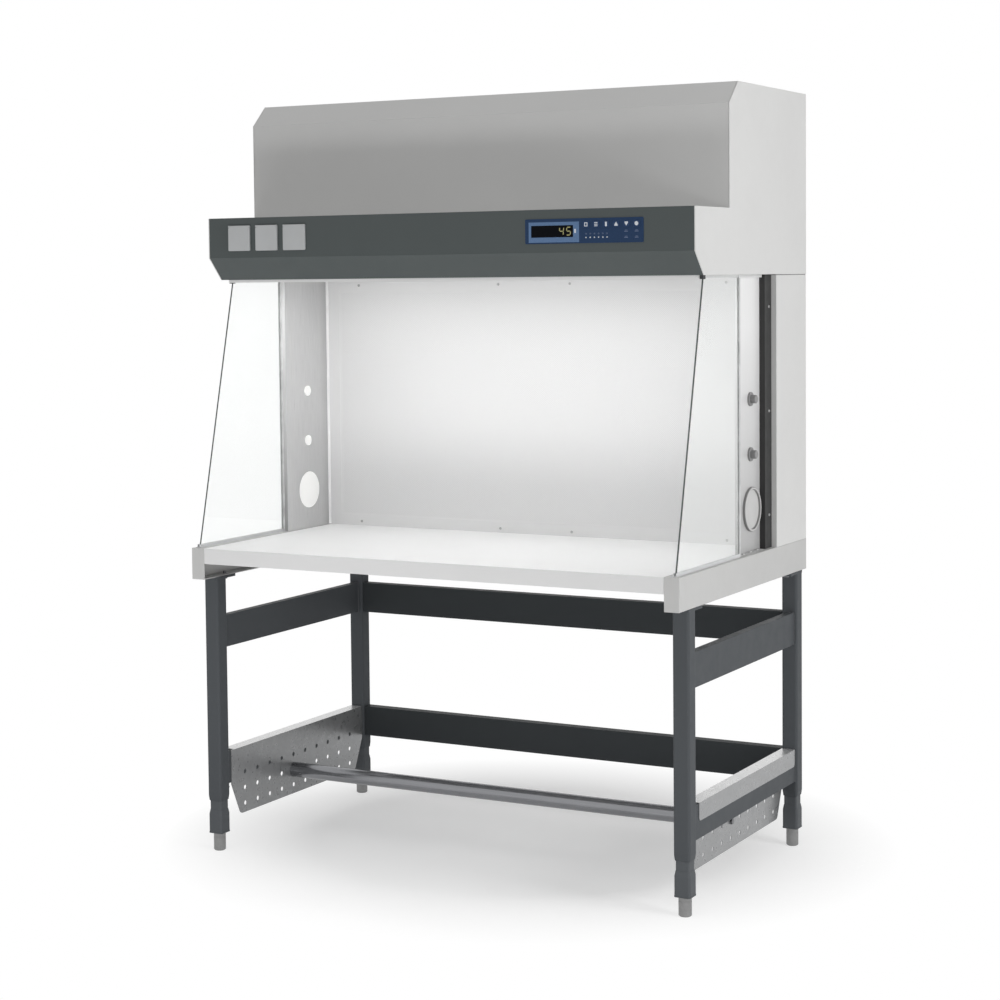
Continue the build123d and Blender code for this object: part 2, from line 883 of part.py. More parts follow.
with BuildPart() as column_right:
    column_inner_x = column_x - thin_sheet
    column_mid_z = (base_top + ceiling_z) / 2
    with Locations((column_x - thin_sheet / 2, (column_front + column_rear) / 2, column_mid_z)):
        Box(thin_sheet, column_rear - column_front, ceiling_z - base_top)
    with Locations(
        (column_inner_x + (column_flange + thin_sheet) / 2, column_front + thin_sheet / 2, column_mid_z)
    ):
        Box(column_flange + thin_sheet, thin_sheet, ceiling_z - base_top)
    foot_length = column_foot_rear - column_front
    with Locations(
        (column_x + column_foot / 2, column_front + foot_length / 2, base_top + thin_sheet / 2)
    ):
        Box(column_foot, foot_length, thin_sheet)
    with BuildSketch(Plane.XY.offset(base_top)):
        with Locations(*column_screw_places):
            Circle(screw_shank_radius + hole_clearance)
    extrude(amount=thin_sheet, mode=Mode.SUBTRACT)
    with BuildSketch(Plane.YZ.offset(column_inner_x)):
        with Locations(*[(small_port_y, port_z) for port_z in small_port_heights]):
            Circle(small_port_radius)
        with Locations((large_port_y, large_port_z)):
            Circle(large_port_radius)
    extrude(amount=thin_sheet, mode=Mode.SUBTRACT)

save(column_right.part, "column_right")
save(mirrored(column_right.part), "column_left")

# Blanking plugs with back nuts for the small ports.
with BuildPart() as port_plugs:
    for side in (-1, 1):
        for port_z in small_port_heights:
            outward = (side, 0, 0)
            with BuildSketch(face_plane(side * column_x, small_port_y, port_z, outward)):
                Circle(plug_flange_radius)
            extrude(amount=plug_flange)
            with BuildSketch(face_plane(side * (column_x + plug_flange), small_port_y, port_z, outward)):
                Circle(plug_knob_radius)
            extrude(amount=plug_knob)
            with BuildSketch(face_plane(side * column_x, small_port_y, port_z, outward)):
                Circle(small_port_radius - hole_clearance)
            extrude(amount=-thin_sheet)
            with BuildSketch(face_plane(side * (column_x - thin_sheet), small_port_y, port_z, outward)):
                Circle(plug_nut_radius)
            extrude(amount=-plug_nut)
    plug_ends = port_plugs.edges().filter_by(GeomType.CIRCLE).filter_by(
        lambda edge: abs(edge.center().X) > column_x + plug_flange + plug_knob / 2
    )
    fillet(plug_ends, plug_edge)

save(port_plugs.part, "port_plugs")

# Round covers in the large ports.
with BuildPart() as port_covers:
    for side in (-1, 1):
        outward = (side, 0, 0)
        with BuildSketch(face_plane(side * (column_x - thin_sheet), large_port_y, large_port_z, outward)):
            Circle(large_port_radius - hole_clearance)
        extrude(amount=thin_sheet + cover_disc)
        with BuildSketch(face_plane(side * column_x, large_port_y, large_port_z, outward)):
            Circle(cover_rim_radius)
            Circle(cover_rim_radius - cover_rim_width, mode=Mode.SUBTRACT)
        extrude(amount=cover_rim)
    rim_ends = port_covers.edges().filter_by(GeomType.CIRCLE).filter_by(
        lambda edge: abs(edge.center().X) > column_x + cover_rim - cover_rim_round
    )
    fillet(rim_ends, cover_rim_round)

save(port_covers.part, "port_covers")

# Dark frame posts behind the columns.
post_width = post_outer_x - column_x
post_screw_reach = seam_z - post_screw_last - base_top - post_screw_first
post_screw_pitch = post_screw_reach / (post_screw_count - 1)
post_screw_heights = row(base_top + post_screw_first, post_screw_pitch, post_screw_count)

with BuildPart() as post_right:
    with Locations(
        (column_x + post_width / 2, (post_front + post_rear) / 2, (base_top + seam_z) / 2)
    ):
        Box(post_width, post_rear - post_front, seam_z - base_top)
        Box(
            post_width - 2 * post_wall,
            post_rear - post_front - 2 * post_wall,
            seam_z - base_top,
            mode=Mode.SUBTRACT,
        )
    with BuildSketch(Plane.YZ.offset(post_outer_x - post_wall)):
        with Locations(*[(post_screw_y, screw_z) for screw_z in post_screw_heights]):
            Circle(screw_shank_radius + hole_clearance)
    extrude(amount=post_wall, mode=Mode.SUBTRACT)

save(post_right.part, "post_right")
save(mirrored(post_right.part), "post_left")

# ================================================================== rear wall, filter and rear cover
chamber_height = ceiling_z - base_top
chamber_mid_z = base_top + chamber_height / 2
filter_front = diffuser_front + diffuser_fold
diffuser_screw_heights = (base_top + diffuser_screw_inset, ceiling_z - diffuser_screw_inset)
diffuser_screws = [
    (side * screw_x, screw_z)
    for side in (-1, 1)
    for screw_x in (diffuser_screw_inner, diffuser_screw_outer)
    for screw_z in diffuser_screw_heights
]

with BuildPart() as diffuser:
    with Locations((0, diffuser_front + diffuser_fold / 2, chamber_mid_z)):
        Box(2 * diffuser_half, diffuser_fold, chamber_height)
    with Locations((0, diffuser_front + sheet + diffuser_fold / 2, chamber_mid_z)):
        Box(
            2 * (diffuser_half - sheet),
            diffuser_fold,
            chamber_height - 2 * sheet,
            mode=Mode.SUBTRACT,
        )
    with Locations((0, diffuser_front + diffuser_recess / 2, chamber_mid_z)):
        Box(
            2 * (diffuser_half - diffuser_side_band),
            diffuser_recess,
            chamber_height - 2 * diffuser_band,
            mode=Mode.SUBTRACT,
        )
    with BuildSketch(face_plane(0, diffuser_front, 0, (0, -1, 0))):
        with Locations(*diffuser_screws):
            Circle(screw_shank_radius + hole_clearance)
    extrude(amount=-sheet, mode=Mode.SUBTRACT)

save(diffuser.part, "diffuser")

# Filter: frame with a pleated pack bonded into it.
filter_rear = filter_front + filter_depth
pack_half = filter_half - filter_frame
pleat_front = filter_front + pleat_lap
pleat_rear = filter_rear - pleat_lap - pleat_sheet
pleat_step = 2 * pack_half / pleat_count
pleat_line = [
    (-pack_half + index * pleat_step, pleat_front if index % 2 == 0 else pleat_rear)
    for index in range(pleat_count + 1)
]
pleat_back = [(x, y + pleat_sheet) for x, y in reversed(pleat_line)]

with BuildPart() as hepa_filter:
    with Locations((0, (filter_front + filter_rear) / 2, chamber_mid_z)):
        Box(2 * filter_half, filter_depth, chamber_height)
        Box(
            2 * pack_half,
            filter_depth,
            chamber_height - 2 * filter_frame,
            mode=Mode.SUBTRACT,
        )
    with BuildSketch(Plane.XY.offset(base_top + filter_frame)):
        with BuildLine():
            Polyline(*(pleat_line + pleat_back), close=True)
        make_face()
    extrude(amount=chamber_height - 2 * filter_frame)
    with BuildSketch(face_plane(0, filter_front, 0, (0, -1, 0))):
        with Locations(*diffuser_screws):
            Circle(screw_shank_radius + hole_clearance)
    extrude(amount=-screw_bite, mode=Mode.SUBTRACT)

save(hepa_filter.part, "hepa_filter")

# Rear cover: back and both sides folded from one sheet.
cover_height = seam_z - seam_gap - base_top
cover_mid_z = base_top + cover_height / 2
cover_depth = back_y - post_rear

with BuildPart() as rear_cover:
    with Locations((0, (post_rear + back_y) / 2, cover_mid_z)):
        Box(width, cover_depth, cover_height)
    fillet(rear_cover.edges().filter_by(Axis.Z).group_by(Axis.Y)[-1], head_corner)
    with Locations((0, (post_rear + back_y) / 2, cover_mid_z)):
        Box(
            width - 2 * sheet,
            cover_depth - 2 * sheet,
            cover_height - 2 * sheet,
            mode=Mode.SUBTRACT,
        )
        Box(
            width - 2 * cover_foot,
            cover_depth - 2 * cover_foot,
            cover_height,
            mode=Mode.SUBTRACT,
        )
    with Locations((0, post_rear + cover_foot, cover_mid_z)):
        Box(width - 2 * cover_flange, 2 * cover_foot, cover_height, mode=Mode.SUBTRACT)

save(rear_cover.part, "rear_cover")

# ================================================================== head
side_inner_x = half_width - sheet
rear_panel_y = back_y - 2 * sheet
rear_panel_top = height - top_cover_flange - cover_gap
rear_panel_bottom = seam_z + sheet + cover_gap
rear_screw_x = side_inner_x - side_flange
rear_screw_step = (rear_panel_top - rear_panel_bottom - 2 * cover_screw_inset) / (rear_screw_count - 1)
rear_screw_heights = row(rear_panel_bottom + cover_screw_inset, rear_screw_step, rear_screw_count)

with BuildPart() as head_side_right:
    with BuildSketch(Plane.YZ.offset(side_inner_x)):
        with BuildLine():
            Polyline(
                (back_y, seam_z),
                (canopy_toe_y, seam_z),
                (canopy_front, canopy_knee),
                (canopy_front, canopy_top),
                (head_front_y, canopy_top),
                (head_front_y, head_chamfer_z),
                (head_chamfer_y, height),
                (back_y, height),
                close=True,
            )
        make_face()
    extrude(amount=sheet)
    flange_front = canopy_toe_y + canopy_return
    with Locations(
        (side_inner_x - side_flange / 2, (flange_front + back_y - sheet) / 2, seam_z + sheet / 2)
    ):
        Box(side_flange, back_y - sheet - flange_front, sheet)
    with Locations(
        (
            side_inner_x - side_flange,
            rear_panel_y - sheet / 2,
            (seam_z + height - top_cover_flange) / 2,
        )
    ):
        Box(2 * side_flange, sheet, height - top_cover_flange - seam_z)
    with BuildSketch(face_plane(0, rear_panel_y, 0, (0, 1, 0))):
        with Locations(*[(-rear_screw_x, screw_z) for screw_z in rear_screw_heights]):
            Circle(screw_shank_radius + hole_clearance)
    extrude(amount=-sheet, mode=Mode.SUBTRACT)

save(head_side_right.part, "head_side_right")
save(mirrored(head_side_right.part), "head_side_left")

panel_reach = side_inner_x - cover_gap
head_front_profile = [
    (head_front_y, canopy_top),
    (head_front_y, head_chamfer_z),
    (head_chamfer_y, height),
    (head_chamfer_y + head_top_lap, height),
]
save(folded_sheet(head_front_profile, sheet, -panel_reach, panel_reach, Side.RIGHT), "head_front")

# Top cover with the air intake and the ledges for the coarse filter.
top_front = head_chamfer_y + head_top_lap + cover_gap
top_length = back_y - top_front
ledge_x = prefilter_x / 2 + cover_gap
ledge_bottom = height - sheet - prefilter_drop - prefilter_height - sheet

with BuildPart() as head_top:
    with Locations((0, top_front + top_length / 2, height - top_cover_flange / 2)):
        Box(2 * panel_reach, top_length, top_cover_flange)
    with Locations((0, top_front + top_length / 2 - sheet, height - top_cover_flange / 2 - sheet)):
        Box(
            2 * (panel_reach - sheet),
            top_length,
            top_cover_flange,
            mode=Mode.SUBTRACT,
        )
    with BuildSketch(Plane.XY.offset(height - sheet)):
        with Locations((0, intake_y)):
            with GridLocations(slot_pitch_x, slot_pitch_y, slot_columns, slot_rows):
                SlotOverall(slot_length, slot_width)
    extrude(amount=sheet, mode=Mode.SUBTRACT)
    for side in (-1, 1):
        with Locations((side * (ledge_x + sheet / 2), intake_y, (ledge_bottom + height - sheet) / 2)):
            Box(sheet, prefilter_y, height - sheet - ledge_bottom)
        with Locations(
            (side * (ledge_x + sheet - ledge_foot / 2), intake_y, ledge_bottom + sheet / 2)
        ):
            Box(ledge_foot, prefilter_y, sheet)

save(head_top.part, "head_top")

# Rear panel of the head, set between the side panels.
rear_screws = [(side * rear_screw_x, screw_z) for side in (-1, 1) for screw_z in rear_screw_heights]

with BuildPart() as head_rear:
    with Locations((0, rear_panel_y + sheet / 2, (rear_panel_bottom + rear_panel_top) / 2)):
        Box(2 * panel_reach, sheet, rear_panel_top - rear_panel_bottom)
    with BuildSketch(face_plane(0, rear_panel_y + sheet, 0, (0, 1, 0))):
        with Locations(*rear_screws):
            Circle(screw_shank_radius + hole_clearance)
        with Locations((-inlet_x, inlet_z)):
            Rectangle(inlet_width, inlet_height)
    extrude(amount=-sheet, mode=Mode.SUBTRACT)

save(head_rear.part, "head_rear")

with BuildPart() as mains_inlet:
    with Locations((inlet_x, rear_panel_y + sheet + inlet_flange / 2, inlet_z)):
        Box(inlet_width + 2 * inlet_lap, inlet_flange, inlet_height + inlet_lap)
    with Locations((inlet_x, rear_panel_y + sheet - inlet_body / 2, inlet_z)):
        Box(inlet_width - cover_gap, inlet_body, inlet_height - cover_gap)
    with BuildSketch(face_plane(inlet_x, rear_panel_y + sheet + inlet_flange, inlet_z, (0, 1, 0))):
        RectangleRounded(inlet_width - inlet_flange, inlet_height - inlet_flange, inlet_flange)
    extrude(amount=-inlet_recess, mode=Mode.SUBTRACT)
    pin_y = rear_panel_y + sheet + inlet_flange - inlet_recess
    with BuildSketch(face_plane(inlet_x, pin_y, inlet_z, (0, 1, 0))):
        with Locations((-pin_spacing, 0), (pin_spacing, 0), (0, pin_width)):
            Rectangle(pin_width, pin_height)
    extrude(amount=pin_length)

save(mains_inlet.part, "mains_inlet")

# Coarse filter under the intake.
prefilter_bottom = ledge_bottom + sheet
prefilter_inner = prefilter_x / 2 - prefilter_frame
mat_low = prefilter_bottom + pleat_sheet
mat_high = prefilter_bottom + prefilter_height - 2 * pleat_sheet
mat_step = 2 * prefilter_inner / prefilter_pleats
mat_line = [
    (-prefilter_inner + index * mat_step, mat_low if index % 2 == 0 else mat_high)
    for index in range(prefilter_pleats + 1)
]
mat_back = [(x, z + pleat_sheet) for x, z in reversed(mat_line)]

with BuildPart() as prefilter:
    with Locations((0, intake_y, prefilter_bottom + prefilter_height / 2)):
        Box(prefilter_x, prefilter_y, prefilter_height)
        Box(
            2 * prefilter_inner,
            prefilter_y - 2 * prefilter_frame,
            prefilter_height,
            mode=Mode.SUBTRACT,
        )
    with BuildSketch(face_plane(0, intake_y - prefilter_y / 2 + prefilter_frame, 0, (0, -1, 0))):
        with BuildLine():
            Polyline(*(mat_line + mat_back), close=True)
        make_face()
    extrude(amount=2 * prefilter_frame - prefilter_y)

save(prefilter.part, "prefilter")

# ================================================================== fan
deck_front = head_front_y + sheet + cover_gap
deck_length = deck_rear - sheet - deck_front
deck_mid_y = deck_front + deck_length / 2
cone_top = deck_z
cone_lip = inlet_radius + inlet_flare
cage_top = motor_bottom
cage_spread = cage_radius / math.sqrt(2)

with BuildPart() as fan_deck:
    with Locations((0, deck_mid_y, deck_z + sheet - deck_flange / 2)):
        Box(2 * side_inner_x, deck_length, deck_flange)
        with Locations((0, 0, -sheet)):
            Box(
                2 * (side_inner_x - sheet),
                deck_length - 2 * sheet,
                deck_flange,
                mode=Mode.SUBTRACT,
            )
    with BuildSketch(Plane.XY.offset(deck_z)):
        with Locations((0, fan_y)):
            Circle(cone_lip)
    extrude(amount=sheet, mode=Mode.SUBTRACT)
    with BuildSketch(Plane(origin=(0, fan_y, 0), x_dir=(1, 0, 0), z_dir=(0, -1, 0))):
        with BuildLine():
            CenterArc((cone_lip, cone_top - inlet_flare), inlet_flare, 90, 90)
            Polyline(
                (inlet_radius, cone_top - inlet_flare),
                (inlet_radius, cone_top - inlet_throat),
                (inlet_radius + thin_sheet, cone_top - inlet_throat),
                (inlet_radius + thin_sheet, cone_top - inlet_flare),
            )
            CenterArc((cone_lip, cone_top - inlet_flare), inlet_flare - thin_sheet, 180, -90)
            Polyline(
                (cone_lip, cone_top - thin_sheet),
                (cone_lip + inlet_flare, cone_top - thin_sheet),
                (cone_lip + inlet_flare, cone_top),
                (cone_lip, cone_top),
            )
        make_face()
    revolve(axis=Axis((0, fan_y, 0), (0, 0, 1)))
    with BuildSketch(Plane.XY.offset(cage_top - cage_plate)):
        with Locations((0, fan_y)):
            with GridLocations(2 * cage_spread, 2 * cage_spread, 2, 2):
                Circle(cage_rod)
    extrude(amount=deck_z - cage_top + cage_plate)
    with BuildSketch(Plane.XY.offset(cage_top - cage_plate)):
        with Locations((0, fan_y)):
            for angle in (45, -45):
                Rectangle(2 * cage_radius + cage_plate_width / 2, cage_plate_width, rotation=angle)
    extrude(amount=cage_plate)

save(fan_deck.part, "fan_deck")

with BuildPart() as fan_motor:
    with BuildSketch(Plane.XY.offset(motor_bottom)):
        with Locations((0, fan_y)):
            Circle(motor_radius)
    extrude(amount=motor_top - motor_bottom)
    fillet(fan_motor.edges().filter_by(GeomType.CIRCLE).sort_by(Axis.Z)[-1], motor_edge)
    with BuildSketch(Plane.XY.offset(motor_top)):
        with Locations((0, fan_y)):
            Circle(shaft_radius + motor_seat)
    extrude(amount=impeller_bottom - motor_top)
    with BuildSketch(Plane.XY.offset(impeller_bottom)):
        with Locations((0, fan_y)):
            Circle(shaft_radius)
    extrude(amount=hub_height)

save(fan_motor.part, "fan_motor")


def blade_outline():
    """Backward-curved blade as a closed outline of constant thickness."""
    outer_side = []
    inner_side = []
    for step in range(blade_steps + 1):
        share = step / blade_steps
        radius = blade_inner + share * (blade_outer - blade_inner)
        angle = math.radians(blade_sweep) * share
        lean = blade_thick / 2 / radius
        outer_side.append((radius * math.cos(angle + lean), radius * math.sin(angle + lean)))
        inner_side.append((radius * math.cos(angle - lean), radius * math.sin(angle - lean)))
    return outer_side + inner_side[::-1]


with BuildPart() as impeller:
    with BuildSketch(Plane.XY.offset(impeller_bottom)):
        with Locations((0, fan_y)):
            Circle(impeller_radius)
    extrude(amount=impeller_plate)
    with BuildSketch(Plane.XY.offset(impeller_bottom + impeller_plate)):
        with Locations((0, fan_y)):
            with PolarLocations(0, blade_count):
                Polygon(*blade_outline(), align=None)
    extrude(amount=impeller_top - impeller_bottom - 2 * impeller_plate)
    with BuildSketch(Plane.XY.offset(impeller_top - impeller_plate)):
        with Locations((0, fan_y)):
            Circle(impeller_radius)
            Circle(impeller_eye, mode=Mode.SUBTRACT)
    extrude(amount=impeller_plate)
    with BuildSketch(Plane.XY.offset(impeller_bottom)):
        with Locations((0, fan_y)):
            Circle(hub_radius)
    extrude(amount=hub_height)
    with BuildSketch(Plane.XY.offset(impeller_bottom)):
        with Locations((0, fan_y)):
            Circle(shaft_radius + shaft_fit)
    extrude(amount=hub_height, mode=Mode.SUBTRACT)

save(impeller.part, "impeller")

# ================================================================== canopy
# Fascia with cut-outs for the outlets and the control panel.
fascia_profile = [
    (head_front_y + head_top_lap, canopy_top),
    (canopy_front, canopy_top),
    (canopy_front, canopy_knee),
    (canopy_toe_y, seam_z),
    (canopy_toe_y + canopy_return, seam_z),
]
front_face = (0, -1, 0)
outlet_centres = row(outlet_first_x, outlet_pitch, outlet_count)
outlet_places = [(outlet_x, outlet_z) for outlet_x in outlet_centres]

with BuildPart() as canopy_fascia:
    add(folded_sheet(fascia_profile, sheet, -panel_reach, panel_reach, Side.LEFT))
    with BuildSketch(face_plane(0, canopy_front, 0, front_face)):
        with Locations((panel_x, panel_z)):
            Rectangle(panel_width - 2 * panel_margin, panel_height - 2 * panel_margin)
        with Locations(*outlet_places):
            Rectangle(outlet_body + 2 * cover_gap, outlet_body + 2 * cover_gap)
    extrude(amount=-sheet, mode=Mode.SUBTRACT)

save(canopy_fascia.part, "canopy_fascia")

# Ceiling of the chamber: tray between the panes with the lamp opening.
ceiling_length = ceiling_rear - ceiling_front
ceiling_back_half = column_x - cover_gap
ceiling_step_y = post_front - cover_gap
lamp_opening_x = lamp_length - 2 * lamp_flange
lamp_opening_y = lamp_width - 2 * lamp_flange

with BuildPart() as ceiling:
    with Locations((0, ceiling_front + ceiling_length / 2, ceiling_z + ceiling_flange / 2)):
        Box(2 * ceiling_back_half, ceiling_length, ceiling_flange)
    with Locations((0, (ceiling_front + ceiling_step_y) / 2, ceiling_z + ceiling_flange / 2)):
        Box(2 * ceiling_half, ceiling_step_y - ceiling_front, ceiling_flange)
    with Locations(
        (0, ceiling_front + ceiling_length / 2, ceiling_z + thin_sheet + ceiling_flange / 2)
    ):
        Box(
            2 * (ceiling_back_half - thin_sheet),
            ceiling_length - 2 * thin_sheet,
            ceiling_flange,
            mode=Mode.SUBTRACT,
        )
    with Locations(
        (0, (ceiling_front + ceiling_step_y) / 2, ceiling_z + thin_sheet + ceiling_flange / 2)
    ):
        Box(
            2 * (ceiling_half - thin_sheet),
            ceiling_step_y - ceiling_front - 2 * thin_sheet,
            ceiling_flange,
            mode=Mode.SUBTRACT,
        )
    with Locations((0, canopy_toe_y + canopy_return / 2, seam_z + ceiling_flange / 2)):
        Box(2 * ceiling_half, canopy_return + 2 * cover_gap, ceiling_flange, mode=Mode.SUBTRACT)
    with BuildSketch(Plane.XY.offset(ceiling_z)):
        with Locations((0, lamp_y)):
            RectangleRounded(lamp_opening_x, lamp_opening_y, lamp_corner)
    extrude(amount=thin_sheet, mode=Mode.SUBTRACT)

save(ceiling.part, "ceiling")

# Lamp: tray with two light strips, and its opal cover flush with the ceiling.
lamp_seat = ceiling_z + thin_sheet
strip_drop = lamp_cover + lamp_flange

with BuildPart() as lamp_housing:
    with BuildSketch(Plane.XY.offset(lamp_seat)):
        with Locations((0, lamp_y)):
            RectangleRounded(lamp_length, lamp_width, lamp_corner)
    extrude(amount=thin_sheet)
    with Locations((0, lamp_y, lamp_seat + lamp_height / 2)):
        Box(lamp_opening_x, lamp_opening_y, lamp_height)
        with Locations((0, 0, -thin_sheet)):
            Box(
                lamp_opening_x - 2 * thin_sheet,
                lamp_opening_y - 2 * thin_sheet,
                lamp_height,
                mode=Mode.SUBTRACT,
            )
    with Locations((0, lamp_y, lamp_seat + lamp_height - thin_sheet - strip_drop / 2)):
        with GridLocations(1, lamp_opening_y / 2, 1, 2):
            Box(lamp_opening_x - 2 * strip_drop, lamp_flange, strip_drop)

save(lamp_housing.part, "lamp_housing")

with BuildPart() as lamp_cover_plate:
    with BuildSketch(Plane.XY.offset(ceiling_z)):
        with Locations((0, lamp_y)):
            RectangleRounded(
                lamp_opening_x - 2 * hole_clearance,
                lamp_opening_y - 2 * hole_clearance,
                lamp_corner,
            )
    extrude(amount=thin_sheet)
    with BuildSketch(Plane.XY.offset(lamp_seat)):
        with Locations((0, lamp_y)):
            Rectangle(
                lamp_opening_x - 2 * thin_sheet,
                lamp_opening_y - 2 * thin_sheet,
            )
    extrude(amount=lamp_cover - thin_sheet)

save(lamp_cover_plate.part, "lamp_cover")

# ================================================================== control panel
key_places = [(key_x, key_z) for key_x in row(key_first_x, key_pitch, key_count)]
panel_face = canopy_front - panel_thick
key_rear = canopy_front + key_lip_thick + key_stem
board_face = key_rear + key_travel + key_stop_gap

with BuildPart() as control_panel:
    with BuildSketch(face_plane(0, canopy_front, 0, front_face)):
        with Locations((panel_x, panel_z)):
            RectangleRounded(panel_width, panel_height, panel_corner)
        with Locations((window_x, window_z)):
            Rectangle(window_width, window_height, mode=Mode.SUBTRACT)
        with Locations(*key_places):
            RectangleRounded(
                key_width + 2 * key_clearance,
                key_height + 2 * key_clearance,
                key_corner + key_clearance,
                mode=Mode.SUBTRACT,
            )
    extrude(amount=panel_thick)

save(control_panel.part, "control_panel")

# Display on its board, carried by a rim behind the fascia.
rim_width = panel_width - board_margin
rim_height = panel_height - board_margin

with BuildPart() as display:
    with BuildSketch(face_plane(0, board_face, 0, front_face)):
        with Locations((panel_x, panel_z)):
            Rectangle(rim_width, rim_height)
    extrude(amount=-board_thick)
    with BuildSketch(face_plane(0, board_face, 0, front_face)):
        with Locations((panel_x, panel_z)):
            Rectangle(rim_width, rim_height)
            Rectangle(
                panel_width - 2 * panel_margin,
                panel_height - 2 * panel_margin,
                mode=Mode.SUBTRACT,
            )
    extrude(amount=board_face - canopy_front - sheet)
    with BuildSketch(face_plane(0, board_face, 0, front_face)):
        with Locations((window_x, window_z)):
            Rectangle(window_width - 2 * window_clearance, window_height - 2 * window_clearance)
    extrude(amount=board_face - panel_face - window_clearance)

save(display.part, "display")

for key_index, (place_x, place_z) in enumerate(key_places):
    with BuildPart() as key:
        with BuildSketch(face_plane(place_x, canopy_front, place_z, front_face)):
            RectangleRounded(key_width, key_height, key_corner)
        extrude(amount=panel_thick + key_proud)
        with BuildSketch(face_plane(place_x, canopy_front, place_z, front_face)):
            RectangleRounded(key_width + 2 * key_lip, key_height + 2 * key_lip, key_corner)
        extrude(amount=-key_lip_thick)
        with BuildSketch(face_plane(place_x, canopy_front + key_lip_thick, place_z, front_face)):
            Circle(key_corner)
        extrude(amount=-key_stem)
    save(key.part, "key_" + str(key_index + 1))

# ================================================================== outlets
# Outlet inserts: flange on the fascia, round dish with two contacts, ears for the lid.
flange_face = canopy_front - outlet_flange
lid_back = flange_face - lid_gap
lid_front = lid_back - lid_thick
pivot_y = (lid_back + lid_front) / 2
pivot_z = outlet_z + outlet_size / 2 - lid_thick / 2
ear_middle_z = outlet_z + outlet_size / 2 - ear_height / 2
ear_offset = (outlet_size - ear_width) / 2

with BuildPart() as outlets:
    with BuildSketch(face_plane(0, canopy_front, 0, front_face)):
        with Locations(*outlet_places):
            RectangleRounded(outlet_size, outlet_size, outlet_corner)
    extrude(amount=outlet_flange)
    with BuildSketch(face_plane(0, canopy_front, 0, front_face)):
        with Locations(*outlet_places):
            Rectangle(outlet_body, outlet_body)
    extrude(amount=-outlet_body_depth)
    with BuildSketch(face_plane(0, flange_face, 0, front_face)):
        with Locations(*outlet_places):
            Circle(outlet_dish_radius)
    extrude(amount=-outlet_dish, mode=Mode.SUBTRACT)
    with BuildSketch(face_plane(0, flange_face + outlet_dish, 0, front_face)):
        with Locations(*outlet_places):
            with GridLocations(contact_spacing, 1, 2, 1):
                Circle(contact_radius)
    extrude(amount=-contact_depth, mode=Mode.SUBTRACT)
    for outlet_x in outlet_centres:
        for side in (-1, 1):
            ear_x = outlet_x + side * ear_offset
            with Locations((ear_x, (flange_face + lid_front) / 2, ear_middle_z)):
                Box(ear_width, flange_face - lid_front, ear_height)
            with BuildSketch(Plane.YZ.offset(ear_x - ear_width / 2)):
                with Locations((pivot_y, pivot_z)):
                    Circle(trunnion_radius + trunnion_fit)
            extrude(amount=ear_width, mode=Mode.SUBTRACT)

save(outlets.part, "outlets")

# Lids: hinged at the top on trunnions in the ears.
lid_neck = outlet_size - 2 * ear_width - 2 * ear_gap
neck_height = ear_height + lid_swing_gap
lid_bottom = outlet_z - outlet_size / 2
lid_shoulder = outlet_z + outlet_size / 2 - neck_height

for lid_index, outlet_x in enumerate(outlet_centres):
    with BuildPart() as lid:
        with Locations((outlet_x, pivot_y, (lid_bottom + lid_shoulder) / 2)):
            Box(outlet_size, lid_thick, lid_shoulder - lid_bottom)
        fillet(
            lid.edges().filter_by(Axis.Y).group_by(Axis.Z)[0],
            outlet_corner,
        )
        with Locations((outlet_x, pivot_y, (lid_shoulder + pivot_z) / 2)):
            Box(lid_neck, lid_thick, pivot_z - lid_shoulder)
        with BuildSketch(Plane.YZ.offset(outlet_x - lid_neck / 2)):
            with Locations((pivot_y, pivot_z)):
                Circle(lid_thick / 2)
        extrude(amount=lid_neck)
        with BuildSketch(Plane.YZ.offset(outlet_x - lid_neck / 2 - ear_gap - trunnion_bite)):
            with Locations((pivot_y, pivot_z)):
                Circle(trunnion_radius)
        extrude(amount=lid_neck + 2 * ear_gap + 2 * trunnion_bite)
    save(lid.part, "outlet_lid_" + str(lid_index + 1))

# ================================================================== panel screws
screw_seats = [(screw_x, diffuser_front, screw_z, (0, -1, 0)) for screw_x, screw_z in diffuser_screws]
screw_seats += [(screw_x, rear_panel_y + sheet, screw_z, (0, 1, 0)) for screw_x, screw_z in rear_screws]
screw_seats += [
    (side * post_outer_x, post_screw_y, screw_z, (side, 0, 0))
    for side in (-1, 1)
    for screw_z in post_screw_heights
]
screw_seats += [
    (side * screw_x, screw_y, base_top + thin_sheet, (0, 0, 1))
    for side in (-1, 1)
    for screw_x, screw_y in column_screw_places
]

with BuildPart() as panel_screws:
    for seat_x, seat_y, seat_z, seat_normal in screw_seats:
        seat = face_plane(seat_x, seat_y, seat_z, seat_normal)
        with BuildSketch(seat):
            Circle(screw_head_radius)
        extrude(amount=screw_head, taper=screw_head_slope)
        with BuildSketch(seat.offset(screw_head)):
            RegularPolygon(screw_socket / 2, 6, major_radius=False)
        extrude(amount=-screw_socket_depth, mode=Mode.SUBTRACT)
        with BuildSketch(seat):
            Circle(screw_shank_radius)
        extrude(amount=-screw_shank)

save(panel_screws.part, "panel_screws")
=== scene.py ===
"""Laminar flow hood on its stand: materials, printed details, light and camera."""

import math

import bmesh
import bpy
from mathutils import Matrix, Vector


